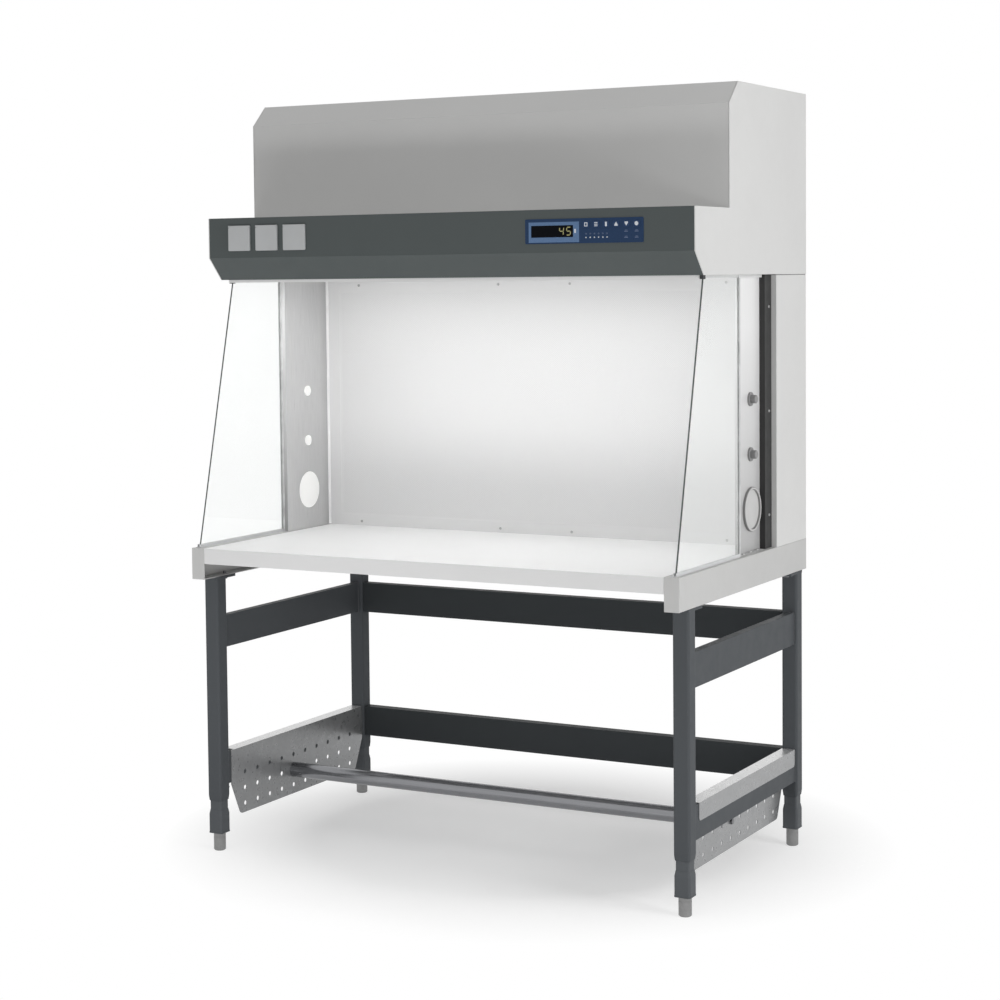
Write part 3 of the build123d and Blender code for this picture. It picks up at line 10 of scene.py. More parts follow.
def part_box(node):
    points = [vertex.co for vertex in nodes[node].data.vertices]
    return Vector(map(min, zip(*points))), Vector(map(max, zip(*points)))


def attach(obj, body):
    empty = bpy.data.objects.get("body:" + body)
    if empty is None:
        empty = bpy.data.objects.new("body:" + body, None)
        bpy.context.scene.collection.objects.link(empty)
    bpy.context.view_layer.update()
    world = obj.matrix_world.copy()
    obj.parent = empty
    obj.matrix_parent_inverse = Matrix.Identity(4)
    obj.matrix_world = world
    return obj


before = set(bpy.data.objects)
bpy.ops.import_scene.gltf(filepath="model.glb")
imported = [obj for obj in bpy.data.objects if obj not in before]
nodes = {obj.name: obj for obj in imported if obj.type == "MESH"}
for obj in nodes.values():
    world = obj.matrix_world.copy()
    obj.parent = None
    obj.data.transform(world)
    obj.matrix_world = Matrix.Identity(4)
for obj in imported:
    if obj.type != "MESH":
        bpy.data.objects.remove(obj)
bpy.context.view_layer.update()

MM = 0.001
CABINET = "cabinet"
CORNERS = ("front_left", "front_right", "rear_left", "rear_right")
LIDS = range(1, 4)
KEYS = range(1, 7)

# The columns, in metres: |x| that parts their chamber side from their outer side, and the two y
# between which painted shade darkens their chamber side towards its rear corner.
COLUMN_FACE = 0.6222
COLUMN_CORNER_SHADE = (0.15, 0.192)


# ---------------------------------------------------------------- colours and node helpers
def linear(value):
    """A screen value from 0 to 255 as linear light."""
    share = value / 255
    return share / 12.92 if share <= 0.04045 else ((share + 0.055) / 1.055) ** 2.4


def colour(red, green, blue):
    return (linear(red), linear(green), linear(blue), 1.0)


def shaded(tone, factor):
    """The same colour, lighter or darker."""
    return tuple(min(1.0, part * factor) for part in tone[:3]) + (1.0,)


BEVEL_SAMPLES = 6
WHITE = (1, 1, 1, 1)
BLACK = (0, 0, 0, 1)


class Material:
    """A node material with one Principled shader and short calls for what feeds it."""

    def __init__(self, name):
        self.data = bpy.data.materials.new(name)
        self.data.use_nodes = True
        self.tree = self.data.node_tree
        self.shader = self.tree.nodes["Principled BSDF"]
        self.place = self.add("ShaderNodeTexCoord").outputs["Object"]

    def add(self, kind, **settings):
        node = self.tree.nodes.new(kind)
        for key, value in settings.items():
            setattr(node, key, value)
        return node

    def feed(self, socket, value):
        """Links a socket to another, or sets its number or colour."""
        if isinstance(value, bpy.types.NodeSocket):
            self.tree.links.new(value, socket)
        else:
            socket.default_value = value

    def set(self, **values):
        """Sets the shader's sockets: base_color=..., roughness=... and so on."""
        for key, value in values.items():
            socket = key.replace("_", " ").title().replace("Ior", "IOR")
            self.feed(self.shader.inputs[socket], value)

    def stretched(self, scale):
        """Object coordinates times a scale for each axis."""
        node = self.add("ShaderNodeVectorMath", operation="MULTIPLY")
        self.feed(node.inputs[0], self.place)
        node.inputs[1].default_value = scale
        return node.outputs[0]

    def noise(self, scale, detail=3.0, stretch=(1, 1, 1), rough=0.5):
        """Cloudy noise; scale is in cells for each metre."""
        node = self.add("ShaderNodeTexNoise")
        self.feed(node.inputs["Vector"], self.stretched(stretch))
        node.inputs["Scale"].default_value = scale
        node.inputs["Detail"].default_value = detail
        node.inputs["Roughness"].default_value = rough
        return node.outputs["Fac"]

    def ramp(self, value, low, high, start=0.3, end=0.7):
        """value from start to end becomes low to high."""
        node = self.add("ShaderNodeMapRange")
        self.feed(node.inputs["Value"], value)
        node.inputs["From Min"].default_value = start
        node.inputs["From Max"].default_value = end
        node.inputs["To Min"].default_value = low
        node.inputs["To Max"].default_value = high
        return node.outputs["Result"]

    def maths(self, operation, first, second=0.0):
        node = self.add("ShaderNodeMath", operation=operation)
        self.feed(node.inputs[0], first)
        self.feed(node.inputs[1], second)
        return node.outputs[0]

    def mix(self, factor, first, second):
        node = self.add("ShaderNodeMix", data_type="RGBA")
        self.feed(node.inputs["Factor"], factor)
        self.feed(node.inputs["A"], first)
        self.feed(node.inputs["B"], second)
        return node.outputs["Result"]

    def mottled(self, amount, tone, dark, light):
        """tone, times dark to light as amount goes from 0.3 to 0.7."""
        return self.mix(self.ramp(amount, 0, 1), shaded(tone, dark), shaded(tone, light))

    def parts(self, vector):
        """The x, y and z of a vector."""
        split = self.add("ShaderNodeSeparateXYZ")
        self.feed(split.inputs[0], vector)
        return [split.outputs[axis] for axis in "XYZ"]

    def geometry(self, kind="Normal"):
        return self.add("ShaderNodeNewGeometry").outputs[kind]

    def beyond_columns(self):
        """1 outside the columns, 0 on their chamber side."""
        x = self.parts(self.place)[0]
        return self.maths("GREATER_THAN", self.maths("ABSOLUTE", x), COLUMN_FACE)

    def rounded(self, radius):
        """The normal of an edge rounded by radius, in metres."""
        node = self.add("ShaderNodeBevel", samples=BEVEL_SAMPLES)
        node.inputs["Radius"].default_value = radius
        return node.outputs["Normal"]

    def edges(self, radius):
        """1 on the rim of each sharp edge, 0 on flat faces."""
        dot = self.add("ShaderNodeVectorMath", operation="DOT_PRODUCT")
        self.feed(dot.inputs[0], self.rounded(radius))
        self.feed(dot.inputs[1], self.geometry())
        return self.ramp(dot.outputs["Value"], 1.0, 0.0, 0.85, 0.995)

    def upward(self):
        """1 where the surface faces up."""
        z = self.parts(self.geometry())[2]
        return self.ramp(z, 0.0, 1.0, 0.5, 1.0)

    def bump(self, height, strength, distance, normal=None):
        node = self.add("ShaderNodeBump")
        node.inputs["Strength"].default_value = strength
        node.inputs["Distance"].default_value = distance
        self.feed(node.inputs["Height"], height)
        if normal is not None:
            self.feed(node.inputs["Normal"], normal)
        self.feed(self.shader.inputs["Normal"], node.outputs["Normal"])
        return self


# ---------------------------------------------------------------- materials
DUST_TONE = colour(190, 188, 182)


def powder_coat(name, tone, rough, peel=0.12, radius=0.0008, wear_and_highlight=0.12, dust=0.05, shine=0.4,
                top_tone_and_painted_light=None):
    """Baked powder paint: an orange-peel skin, lighter edges that are partly wear and partly
    painted highlight, a little dust on top.
    radius is that of the edges, in metres. The last argument is the tone of what faces up:
    painted light on the worktop, a second paint on the canopy."""
    m = Material(name)
    body = m.mottled(m.noise(2.2, detail=4.0), tone, 0.97, 1.03)
    # what faces up takes the last argument's tone: painted light on the worktop, a second paint on
    # the canopy
    if top_tone_and_painted_light:
        body = m.mix(m.upward(), body, top_tone_and_painted_light)
    scuffs = m.noise(60, detail=5.0, rough=0.65)
    # lighter edges: partly wear, partly painted highlight
    rim = m.maths("MULTIPLY", m.edges(radius), m.ramp(scuffs, 0.3, 1.0, 0.35, 0.65))
    worn_and_highlit = m.mix(m.maths("MULTIPLY", rim, wear_and_highlight), body, shaded(tone, 1.6))
    dusty = m.maths("MULTIPLY", m.upward(), m.ramp(m.noise(9, detail=5.0), 0, dust))
    m.set(base_color=m.mix(dusty, worn_and_highlit, DUST_TONE))
    m.set(roughness=m.ramp(m.noise(35, detail=4.0), rough - 0.05, rough + 0.06))
    m.set(specular_ior_level=shine)
    skin = m.noise(700, detail=2.0)
    return m.bump(skin, strength=peel, distance=0.0002, normal=m.rounded(radius)).data


# the outer side of the columns: grey of its grain, and the two z between which its painted
# reflection gets lighter
GRAIN_GREY = (0.4, 0.4, 0.4, 1)
PAINTED_REFLECTION_RISE = (0.8, 1.3)


def brushed(name, tone, rough, grain, scale, strength=0.08, anisotropic=0.4, metallic=1.0,
            outside=None):
    """Metal with a grain that runs along the axis that grain leaves unstretched.
    outside is for the columns only: the tone of their outer side, with a painted reflection that is
    darker low down. It paints shade into the rear corner of their chamber side."""
    m = Material(name)
    lines = m.noise(scale, detail=4.0, stretch=grain, rough=0.7)
    smears = m.noise(5, detail=4.0)
    body = m.mottled(lines, tone, 0.86, 1.1)
    body = m.mix(m.ramp(smears, 0, 0.35), body, shaded(tone, 0.8))
    if outside:
        y, z = m.parts(m.place)[1:]
        # painted shade: the chamber side darkens towards its rear corner
        body = m.mix(m.ramp(y, 0, 1, *COLUMN_CORNER_SHADE), body, m.mottled(lines, tone, 0.72, 0.8))
        # painted reflection: the outer side is darker low down and lighter up high
        painted_reflection = m.mix(m.ramp(z, 0, 1, *PAINTED_REFLECTION_RISE), shaded(outside, 0.52), outside)
        beyond = m.beyond_columns()
        body = m.mix(beyond, body, m.mix(m.ramp(lines, 0.0, 0.12), painted_reflection, GRAIN_GREY))
        metallic = m.ramp(beyond, metallic, 0.1, 0.0, 1.0)
    m.set(base_color=body, metallic=metallic)
    m.set(roughness=m.ramp(lines, rough - 0.07, rough + 0.09), anisotropic=anisotropic)
    return m.bump(lines, strength, distance=0.0001, normal=m.rounded(0.0006)).data


def galvanised(name, tone, rough, top_tone_and_painted_light=None):
    """Zinc-plated steel: a fine spangle with a dull bloom; the last argument paints highlight on
    top.
    """
    m = Material(name)
    spangle = m.mottled(m.noise(110, detail=2.0), tone, 0.94, 1.05)
    body = m.mix(m.ramp(m.noise(20, detail=5.0), 0, 0.3), spangle, shaded(tone, 0.82))
    # what faces up is lighter: painted highlight
    if top_tone_and_painted_light:
        body = m.mix(m.upward(), body, top_tone_and_painted_light)
    m.set(base_color=body)
    m.set(metallic=0.6, roughness=m.ramp(m.noise(70, detail=4.0), rough - 0.05, rough + 0.07))
    return m.bump(m.noise(400, detail=3.0), strength=0.015, distance=0.0002).data


def moulded(name, tone, rough):
    """Injection-moulded plastic with a fine spark-eroded grain."""
    m = Material(name)
    radius = 0.0006
    body = m.mottled(m.noise(14, detail=3.0), tone, 0.96, 1.04)
    # lighter rims: a painted highlight on the edges
    m.set(base_color=m.mix(m.maths("MULTIPLY", m.edges(radius), 0.25), body, shaded(tone, 1.25)))
    m.set(roughness=m.ramp(m.noise(120, detail=3.0), rough - 0.04, rough + 0.06))
    m.set(specular_ior_level=0.45)
    sparks = m.noise(900, detail=2.0)
    return m.bump(sparks, strength=0.15, distance=0.0001, normal=m.rounded(radius)).data


GLASS_TINT = (0.98, 0.992, 0.987, 1)
GROUND_EDGE = colour(66, 72, 70)


def clear_pane(name):
    """Clear toughened glass: its faces, which look along x, are seen through. Its ground edges are
    grey."""
    m = Material(name)
    across = m.parts(m.geometry("True Normal"))[0]
    face = m.maths("GREATER_THAN", m.maths("ABSOLUTE", across), 0.5)
    smears = m.ramp(m.noise(6, detail=3.0), 0.0, 0.012)
    ground = m.ramp(m.noise(400, detail=3.0), 0.45, 0.6)
    m.set(base_color=m.mix(face, GROUND_EDGE, GLASS_TINT))
    m.set(transmission_weight=m.ramp(face, 0.0, 0.97, 0.0, 1.0))
    m.set(roughness=m.maths("ADD", m.maths("MULTIPLY", face, smears),
                            m.maths("MULTIPLY", m.maths("SUBTRACT", 1.0, face), ground)))
    # the faint white emission over the pane is a painted glow
    m.set(ior=1.52, specular_ior_level=0.5, emission_color=WHITE, emission_strength=0.016)
    return m.bump(m.noise(1.5, detail=1.0), strength=0.02, distance=0.0005).data


def two_sided_plug(name, outside, inside, rim_shade):
    """Moulded plastic, darker outside the column (on the covers painted shade), with painted shade
    on its rim as rim_shade sets it. On the chamber side it is light, with a painted glow."""
    m = Material(name)
    outer = m.beyond_columns()
    cloud = m.noise(14, detail=3.0)
    across = m.parts(m.geometry())[0]
    # painted shade on the rim, as rim_shade sets it
    rim = m.ramp(m.maths("ABSOLUTE", across), 1.0, 0.0, 0.5, 0.98)
    outer_tone = m.mix(rim, m.mottled(cloud, outside, 0.94, 1.05), shaded(outside, rim_shade))
    m.set(base_color=m.mix(outer, m.mottled(cloud, inside, 0.98, 1.02), outer_tone))
    m.set(roughness=m.ramp(m.noise(120, detail=3.0), 0.38, 0.5), specular_ior_level=0.3)
    # painted glow on the chamber side
    m.set(emission_color=WHITE, emission_strength=m.ramp(outer, 0.14, 0.0, 0.0, 1.0))
    sparks = m.noise(900, detail=2.0)
    return m.bump(sparks, strength=0.15, distance=0.0001, normal=m.rounded(0.0008)).data


def rubber(name, tone):
    """Rubber or sealant with a pale bloom."""
    m = Material(name)
    bloom = m.ramp(m.noise(40, detail=5.0), 0, 0.5)
    m.set(base_color=m.mix(bloom, tone, shaded(tone, 1.7)))
    m.set(roughness=m.ramp(m.noise(90, detail=3.0), 0.62, 0.82), specular_ior_level=0.3)
    skin = m.noise(600, detail=3.0)
    return m.bump(skin, strength=0.25, distance=0.0002, normal=m.rounded(0.0004)).data


def pleated_paper(name, tone):
    """Glass-fibre filter paper, with painted shade in the valleys of its folds."""
    m = Material(name)
    wave = m.add("ShaderNodeTexWave", wave_type="BANDS", bands_direction="X")
    m.feed(wave.inputs["Vector"], m.place)
    wave.inputs["Scale"].default_value = 90
    wave.inputs["Distortion"].default_value = 0.4
    # painted shade in the valleys of the folds
    m.set(base_color=m.mix(wave.outputs["Fac"], shaded(tone, 0.7), tone))
    m.set(roughness=0.95, specular_ior_level=0.1)
    fibres = m.noise(500, detail=4.0, stretch=(1, 1, 0.2))
    height = m.maths("ADD", wave.outputs["Fac"], m.maths("MULTIPLY", fibres, 0.2))
    return m.bump(height, strength=0.6, distance=0.001).data


def perforated(name, tone, pitch, hole, half_x, low_z, high_z):
    """A painted sheet with staggered rows of small holes inside a plain border, in metres."""
    m = Material(name)
    x, _, z = m.parts(m.place)
    offset = 10

    def distance(shift):
        """To the nearest hole of one grid; offset is whole pitches and keeps x and z above 0."""
        across = m.maths("PINGPONG", m.maths("ADD", x, offset + shift), pitch / 2)
        upward = m.maths("PINGPONG", m.maths("ADD", z, offset + shift), pitch / 2)
        squares = [m.maths("POWER", part, 2.0) for part in (across, upward)]
        return m.maths("SQRT", m.maths("ADD", *squares))

    nearest = m.maths("MINIMUM", distance(0.0), distance(pitch / 2))
    inside = m.maths("LESS_THAN", nearest, hole / 2)
    for value, limit, operation in (
        (m.maths("ABSOLUTE", x), half_x, "LESS_THAN"),
        (z, low_z, "GREATER_THAN"),
        (z, high_z, "LESS_THAN"),
    ):
        inside = m.maths("MULTIPLY", inside, m.maths(operation, value, limit))
    body = m.mottled(m.noise(2.0, detail=4.0), tone, 0.985, 1.01)
    m.set(base_color=m.mix(inside, body, shaded(tone, 0.88)))
    m.set(roughness=m.ramp(m.noise(35, detail=4.0), 0.42, 0.52), specular_ior_level=0.35)
    height = m.maths("SUBTRACT", m.maths("MULTIPLY", m.noise(700, detail=2.0), 0.2), inside)
    return m.bump(height, strength=0.25, distance=0.0003, normal=m.rounded(0.0008)).data


def glowing(name, tone, strength, base):
    """Something lit from within."""
    m = Material(name)
    m.set(base_color=base, roughness=m.ramp(m.noise(50, detail=2.0), 0.35, 0.5))
    m.set(emission_color=tone, emission_strength=strength)
    return m.data


def glossy_print(name, tone, rough=0.3, shine=0.15):
    """Screen-printed ink on a foil."""
    m = Material(name)
    m.set(base_color=m.mottled(m.noise(300, detail=3.0), tone, 0.93, 1.05))
    m.set(roughness=m.ramp(m.noise(200, detail=2.0), rough - 0.05, rough + 0.08))
    m.set(specular_ior_level=shine)
    return m.bump(m.noise(1500, detail=2.0), strength=0.08, distance=0.00005).data


cover_grey = powder_coat("cover_grey", colour(212, 212, 211), 0.42)
rail_grey = powder_coat("rail_grey", colour(190, 190, 189), 0.42)
white_coat = powder_coat("white_coat", colour(241, 241, 241), 0.4, wear_and_highlight=0.05, dust=0.02)
# the worktop's top is lighter than its edges and underside: painted light
bench_white = powder_coat("bench_white", colour(220, 220, 220), 0.4, wear_and_highlight=0.05, dust=0.02,
                          top_tone_and_painted_light=colour(247, 247, 247))
# the canopy's top takes the cover grey: a second paint
slate = powder_coat("slate", colour(80, 86, 86), 0.45, wear_and_highlight=0.08, shine=0.3,
                    top_tone_and_painted_light=colour(212, 212, 211))
post_dark = powder_coat("post_dark", colour(57, 57, 57), 0.5, wear_and_highlight=0.1, shine=0.15)
stand_dark = powder_coat("stand_dark", colour(80, 83, 86), 0.45, peel=0.2, radius=0.002,
                         wear_and_highlight=0.16, shine=0.05)
# the stand's paint, darker on the two beams: painted shade
beam_painted_shade = powder_coat("beam_painted_shade", colour(61, 64, 66), 0.45, peel=0.2, radius=0.002,
                        wear_and_highlight=0.12, shine=0.04)
# the stand's paint, lighter on the inner legs: painted light
leg_painted_light = powder_coat("leg_painted_light", colour(87, 90, 93), 0.42, peel=0.2, radius=0.002,
                       wear_and_highlight=0.12, shine=0.06)
column_steel = brushed("column_steel", colour(218, 218, 218), 0.34, grain=(80, 80, 1), scale=14,
                       strength=0.04, metallic=0.55, outside=colour(240, 240, 240))
diffuser_white = perforated("diffuser_white", colour(235, 235, 235), pitch=0.005, hole=0.0018,
                            half_x=0.575, low_z=0.80, high_z=1.385)
foot_steel = galvanised("foot_steel", colour(140, 140, 140), 0.42)
# the brackets' tops are lighter: painted highlight
bracket_steel = galvanised("bracket_steel", colour(152, 153, 154), 0.3, top_tone_and_painted_light=colour(228, 228, 228))
bar_steel = brushed("bar_steel", colour(142, 143, 146), 0.2, grain=(1, 60, 60), scale=6,
                    strength=0.01)
fan_steel = galvanised("fan_steel", colour(180, 180, 178), 0.45)
bolt_steel = brushed("bolt_steel", colour(120, 121, 124), 0.35, grain=(1, 1, 1), scale=120,
                     anisotropic=0.0)
screw_steel = brushed("screw_steel", colour(190, 190, 190), 0.3, grain=(1, 1, 1), scale=150,
                      anisotropic=0.0)
motor_black = powder_coat("motor_black", colour(60, 61, 63), 0.5)
anodised = brushed("anodised", colour(222, 223, 224), 0.35, grain=(60, 1, 60), scale=8,
                   metallic=0.6)
impeller_metal = brushed("impeller_metal", colour(190, 191, 192), 0.38, grain=(30, 30, 1), scale=10)
glass = clear_pane("glass")
black_rubber = rubber("black_rubber", colour(70, 71, 72))
clear_seal = rubber("clear_seal", colour(186, 187, 187))
seal_grey = rubber("seal_grey", colour(120, 120, 120))
bead_white = moulded("bead_white", colour(250, 250, 250), 0.4)
lid_grey = moulded("lid_grey", colour(193, 195, 196), 0.45)
plug_plastic = two_sided_plug("plug_plastic", outside=colour(142, 142, 142),
                              inside=colour(252, 252, 250), rim_shade=0.8)
# the outer tone is the white disc darkened: painted shade
cover_plastic = two_sided_plug("cover_plastic", outside=colour(196, 196, 195),
                               inside=colour(248, 248, 246), rim_shade=0.42)
inlet_black = moulded("inlet_black", colour(40, 40, 41), 0.48)
panel_blue = glossy_print("panel_blue", colour(40, 62, 94), 0.32)
key_blue = glossy_print("key_blue", colour(42, 65, 100), 0.35)
frame_blue = glossy_print("frame_blue", colour(100, 128, 166))
ink_white = glossy_print("ink_white", colour(226, 230, 236))
ink_grey = glossy_print("ink_grey", colour(120, 132, 160))
window_black = glossy_print("window_black", colour(12, 14, 19), 0.12, shine=0.04)
paper = pleated_paper("paper", colour(232, 231, 224))
weld_dark = powder_coat("weld_dark", colour(80, 82, 85), 0.45, peel=0.3)
digit_glow = glowing("digit_glow", colour(206, 200, 136), strength=0.45, base=colour(40, 40, 20))
lamp_white = glowing("lamp_white", WHITE, strength=6.6, base=colour(244, 244, 240))

finishes = {
    cover_grey: ["rear_cover"] + [
        f"head_{place}" for place in ("side_left", "side_right", "rear", "top", "front")],
    rail_grey: ["base_rail_left", "base_rail_right"],
    white_coat: ["ceiling", "lamp_housing"],
    bench_white: ["worktop"],
    slate: ["canopy_fascia"],
    post_dark: ["post_left", "post_right"],
    stand_dark: ["side_frame_left", "side_frame_right"],
    beam_painted_shade: ["beam_upper", "beam_lower"],
    leg_painted_light: [f"inner_leg_{corner}" for corner in CORNERS],
    column_steel: ["column_left", "column_right"],
    diffuser_white: ["diffuser"],
    foot_steel: [f"foot_{corner}" for corner in CORNERS],
    bracket_steel: ["footrest_bracket_left", "footrest_bracket_right"],
    bar_steel: ["footrest_bar"],
    fan_steel: ["fan_deck"],
    bolt_steel: ["hex_bolts"],
    screw_steel: ["panel_screws"],
    motor_black: ["fan_motor"],
    anodised: ["glass_channels"],
    impeller_metal: ["impeller"],
    glass: ["glass_left", "glass_right"],
    black_rubber: ["glass_clips"],
    clear_seal: ["glass_gaskets"],
    lid_grey: ["outlets"] + [f"outlet_lid_{index}" for index in LIDS],
    plug_plastic: ["port_plugs"],
    cover_plastic: ["port_covers"],
    lamp_white: ["lamp_cover"],
    inlet_black: ["mains_inlet"],
    panel_blue: ["control_panel"],
    key_blue: [f"key_{index}" for index in KEYS],
    window_black: ["display"],
    paper: ["hepa_filter", "prefilter"],
}
for material, names in finishes.items():
    for name in names:
        slots = nodes[name].data.materials
        slots.clear()
        slots.append(material)


# ---------------------------------------------------------------- small pieces added to the solids
def new_piece(name, mesh_maker, material, body=CABINET, smooth=False):
    """An object from bmesh code, on its body and with its material."""
    mesh = bpy.data.meshes.new(name)
    built = bmesh.new()
    mesh_maker(built)
    bmesh.ops.recalc_face_normals(built, faces=built.faces)
    for face in built.faces:
        face.smooth = smooth
    built.to_mesh(mesh)
    built.free()
    piece = bpy.data.objects.new(name, mesh)
    bpy.context.scene.collection.objects.link(piece)
    mesh.materials.append(material)
    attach(piece, body)


def add_plate(built, outline, front, depth):
    """A flat plate with an outline in (x, z), from y = front to front + depth."""
    near = [built.verts.new((x, front, z)) for x, z in outline]
    far = [built.verts.new((x, front + depth, z)) for x, z in outline]
    built.faces.new(near)
    built.faces.new(reversed(far))
    for i in range(len(outline)):
        j = (i + 1) % len(outline)
        built.faces.new((near[i], near[j], far[j], far[i]))


def add_block(built, low, high):
    """A box between two corners."""
    outline = [(low[0], low[2]), (high[0], low[2]), (high[0], high[2]), (low[0], high[2])]
    add_plate(built, outline, low[1], high[1] - low[1])


def disc_outline(x, z, radius, sides=20):
    turns = [2 * math.pi * i / sides for i in range(sides)]
    return [(x + radius * math.cos(t), z + radius * math.sin(t)) for t in turns]


def bar_outline(x, z, width, height):
    return [
        (x - width / 2, z - height / 2),
        (x + width / 2, z - height / 2),
        (x + width / 2, z + height / 2),
        (x - width / 2, z + height / 2),
    ]


# Print on the foil: the frame round the display window and the small marks. Each place is an x or
# z of the foil in metres, and each mark is a thin plate on it.
panel_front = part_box("control_panel")[0].y
display_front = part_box("display")[0].y
PRINT_DEPTH = 0.12 * MM
print_front = panel_front - PRINT_DEPTH

FRAME_LEFT, FRAME_RIGHT, FRAME_LOW, FRAME_HIGH = (
    240.9 * MM, 368.3 * MM, 1501.3 * MM, 1547.4 * MM)
WINDOW_LEFT, WINDOW_RIGHT, WINDOW_LOW, WINDOW_HIGH = (
    247.2 * MM, 353.4 * MM, 1512.8 * MM, 1539.7 * MM)
WINDOW_BAR = (358.5 * MM, 1526.5 * MM, 4 * MM, 9 * MM)

# the row of dots to the right of the window, and the legend above it: three strokes over each dot,
# each with its shift from the place of the group and its height
MARKS = 6
DOT_LEFT, DOT_PITCH, DOT_Z, DOT_RADIUS = 385.6 * MM, 10.46 * MM, 1511.3 * MM, 1.5 * MM
LEGEND_LEFT, LEGEND_PITCH, LEGEND_Z, STROKE_WIDTH = 386 * MM, 10.3 * MM, 1519.6 * MM, 0.5 * MM
LEGEND_STROKES = ((-1.4 * MM, 3.2 * MM), (0.2 * MM, 4.6 * MM), (1.6 * MM, 2.6 * MM))

# pairs of lines that stand for the words beside the dots: a long one with a short one above it
WORD_X, WORD_Z = (484.6 * MM, 510.3 * MM), (1523.3 * MM, 1509.7 * MM)
LONG_LINE = (9 * MM, 1.3 * MM)
SHORT_LINE, SHORT_RISE = (6 * MM, 1.0 * MM), 2.6 * MM


def add_print(built, outline, front=print_front):
    add_plate(built, outline, front, PRINT_DEPTH)


def window_frame(built):
    """Four plates that leave the window free."""
    bars = (
        (FRAME_LEFT, FRAME_RIGHT, FRAME_LOW, WINDOW_LOW),
        (FRAME_LEFT, FRAME_RIGHT, WINDOW_HIGH, FRAME_HIGH),
        (FRAME_LEFT, WINDOW_LEFT, WINDOW_LOW, WINDOW_HIGH),
        (WINDOW_RIGHT, FRAME_RIGHT, WINDOW_LOW, WINDOW_HIGH),
    )
    for left, right, low, high in bars:
        x, z = (left + right) / 2, (low + high) / 2
        add_print(built, bar_outline(x, z, right - left, high - low))


new_piece("window_print", window_frame, frame_blue)


def indicator_dots(built):
    for i in range(MARKS):
        add_print(built, disc_outline(DOT_LEFT + i * DOT_PITCH, DOT_Z, DOT_RADIUS))


def legend(built):
    """The lines that stand for words, and the strokes above the dots."""
    for x in WORD_X:
        for z in WORD_Z:
            add_print(built, bar_outline(x, z, *LONG_LINE))
            add_print(built, bar_outline(x, z + SHORT_RISE, *SHORT_LINE))
    for i in range(MARKS):
        for shift, height in LEGEND_STROKES:
            x = LEGEND_LEFT + i * LEGEND_PITCH + shift
            add_print(built, bar_outline(x, LEGEND_Z, STROKE_WIDTH, height))


def window_bar(built):
    """Light bar beside the window, on top of the printed frame."""
    add_print(built, bar_outline(*WINDOW_BAR), print_front - PRINT_DEPTH)


new_piece("indicator_print", indicator_dots, ink_white)
new_piece("legend_print", legend, ink_grey)
new_piece("window_bar_print", window_bar, ink_white)


# Segment digits on the window's face. A segment is its place in half widths and half heights of the
# digit, and whether it lies flat.
SEGMENTS = {
    "top": (0, 1, True), "middle": (0, 0, True), "bottom": (0, -1, True),
    "upper_left": (-1, 0.5, False), "upper_right": (1, 0.5, False),
    "lower_left": (-1, -0.5, False), "lower_right": (1, -0.5, False),
}
DIGITS = {
    "4": ("upper_left", "upper_right", "middle", "lower_right"),
    "5": ("top", "upper_left", "middle", "lower_right", "bottom"),
}
DIGIT_PLACES = (("4", 324.0 * MM), ("5", 341.8 * MM))
DIGIT_Z = 1526.3 * MM
DIGIT_HALF_WIDTH, DIGIT_HALF_HEIGHT = 5.0 * MM, 8.8 * MM
DIGIT_LEAN = 0.09
DIGIT_DEPTH = 0.08 * MM
SEGMENT_HALF_WIDTH = 1.1 * MM
SEGMENT_SHARE = 0.88


def segment_outline(x, z, half_length, half_width, flat):
    """A slim hexagon, flat or upright, that leans like the digit does."""
    along = [-half_length, -half_length + half_width, half_length - half_width,
             half_length, half_length - half_width, -half_length + half_width]
    across = [0, half_width, half_width, 0, -half_width, -half_width]
    points = list(zip(along, across)) if flat else list(zip(across, along))
    return [(x + a + DIGIT_LEAN * b, z + b) for a, b in points]


def digits(built):
    for sign, middle in DIGIT_PLACES:
        for name in DIGITS[sign]:
            across, up, flat = SEGMENTS[name]
            half_length = DIGIT_HALF_WIDTH if flat else DIGIT_HALF_HEIGHT / 2
            rise = up * DIGIT_HALF_HEIGHT
            x = middle + across * DIGIT_HALF_WIDTH + DIGIT_LEAN * rise
            outline = segment_outline(
                x, DIGIT_Z + rise, half_length * SEGMENT_SHARE, SEGMENT_HALF_WIDTH, flat)
            add_plate(built, outline, display_front - DIGIT_DEPTH, DIGIT_DEPTH)


new_piece("digits", digits, digit_glow)


# Icons on the keys, one piece for each key: outlines in millimetres round the middle of the key.
STROKE = 1.8
RISE = 3.6
ARROW = [(-4.4, -2.4), (0, 4.8), (4.4, -2.4)]
ICONS = {
    1: [bar_outline(-3, 0, STROKE, 9), bar_outline(3, 0, STROKE, 9),
        bar_outline(0, RISE, 4.2, STROKE), bar_outline(0, -RISE, 4.2, STROKE)],
    2: [bar_outline(0, z, 8, STROKE) for z in (RISE, 0, -RISE)],
    3: [bar_outline(0, 0, 4.4, 10)],
    4: [ARROW, bar_outline(0, -RISE, 8, 2)],
    5: [[(-x, -z) for x, z in ARROW], bar_outline(0, RISE, 8, 2)],
    6: [disc_outline(0, 0, 4.6)],
}


def key_icon(index, x, z):
    def make(built):
        for outline in ICONS[index]:
            placed = [(x + a * MM, z + b * MM) for a, b in outline]
            add_print(built, placed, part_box(f"key_{index}")[0].y - PRINT_DEPTH)

    return make


for index in KEYS:
    low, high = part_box(f"key_{index}")
    new_piece(f"key_icon_{index}", key_icon(index, (low.x + high.x) / 2, (low.z + high.z) / 2),
              ink_white, body=f"key_{index}")


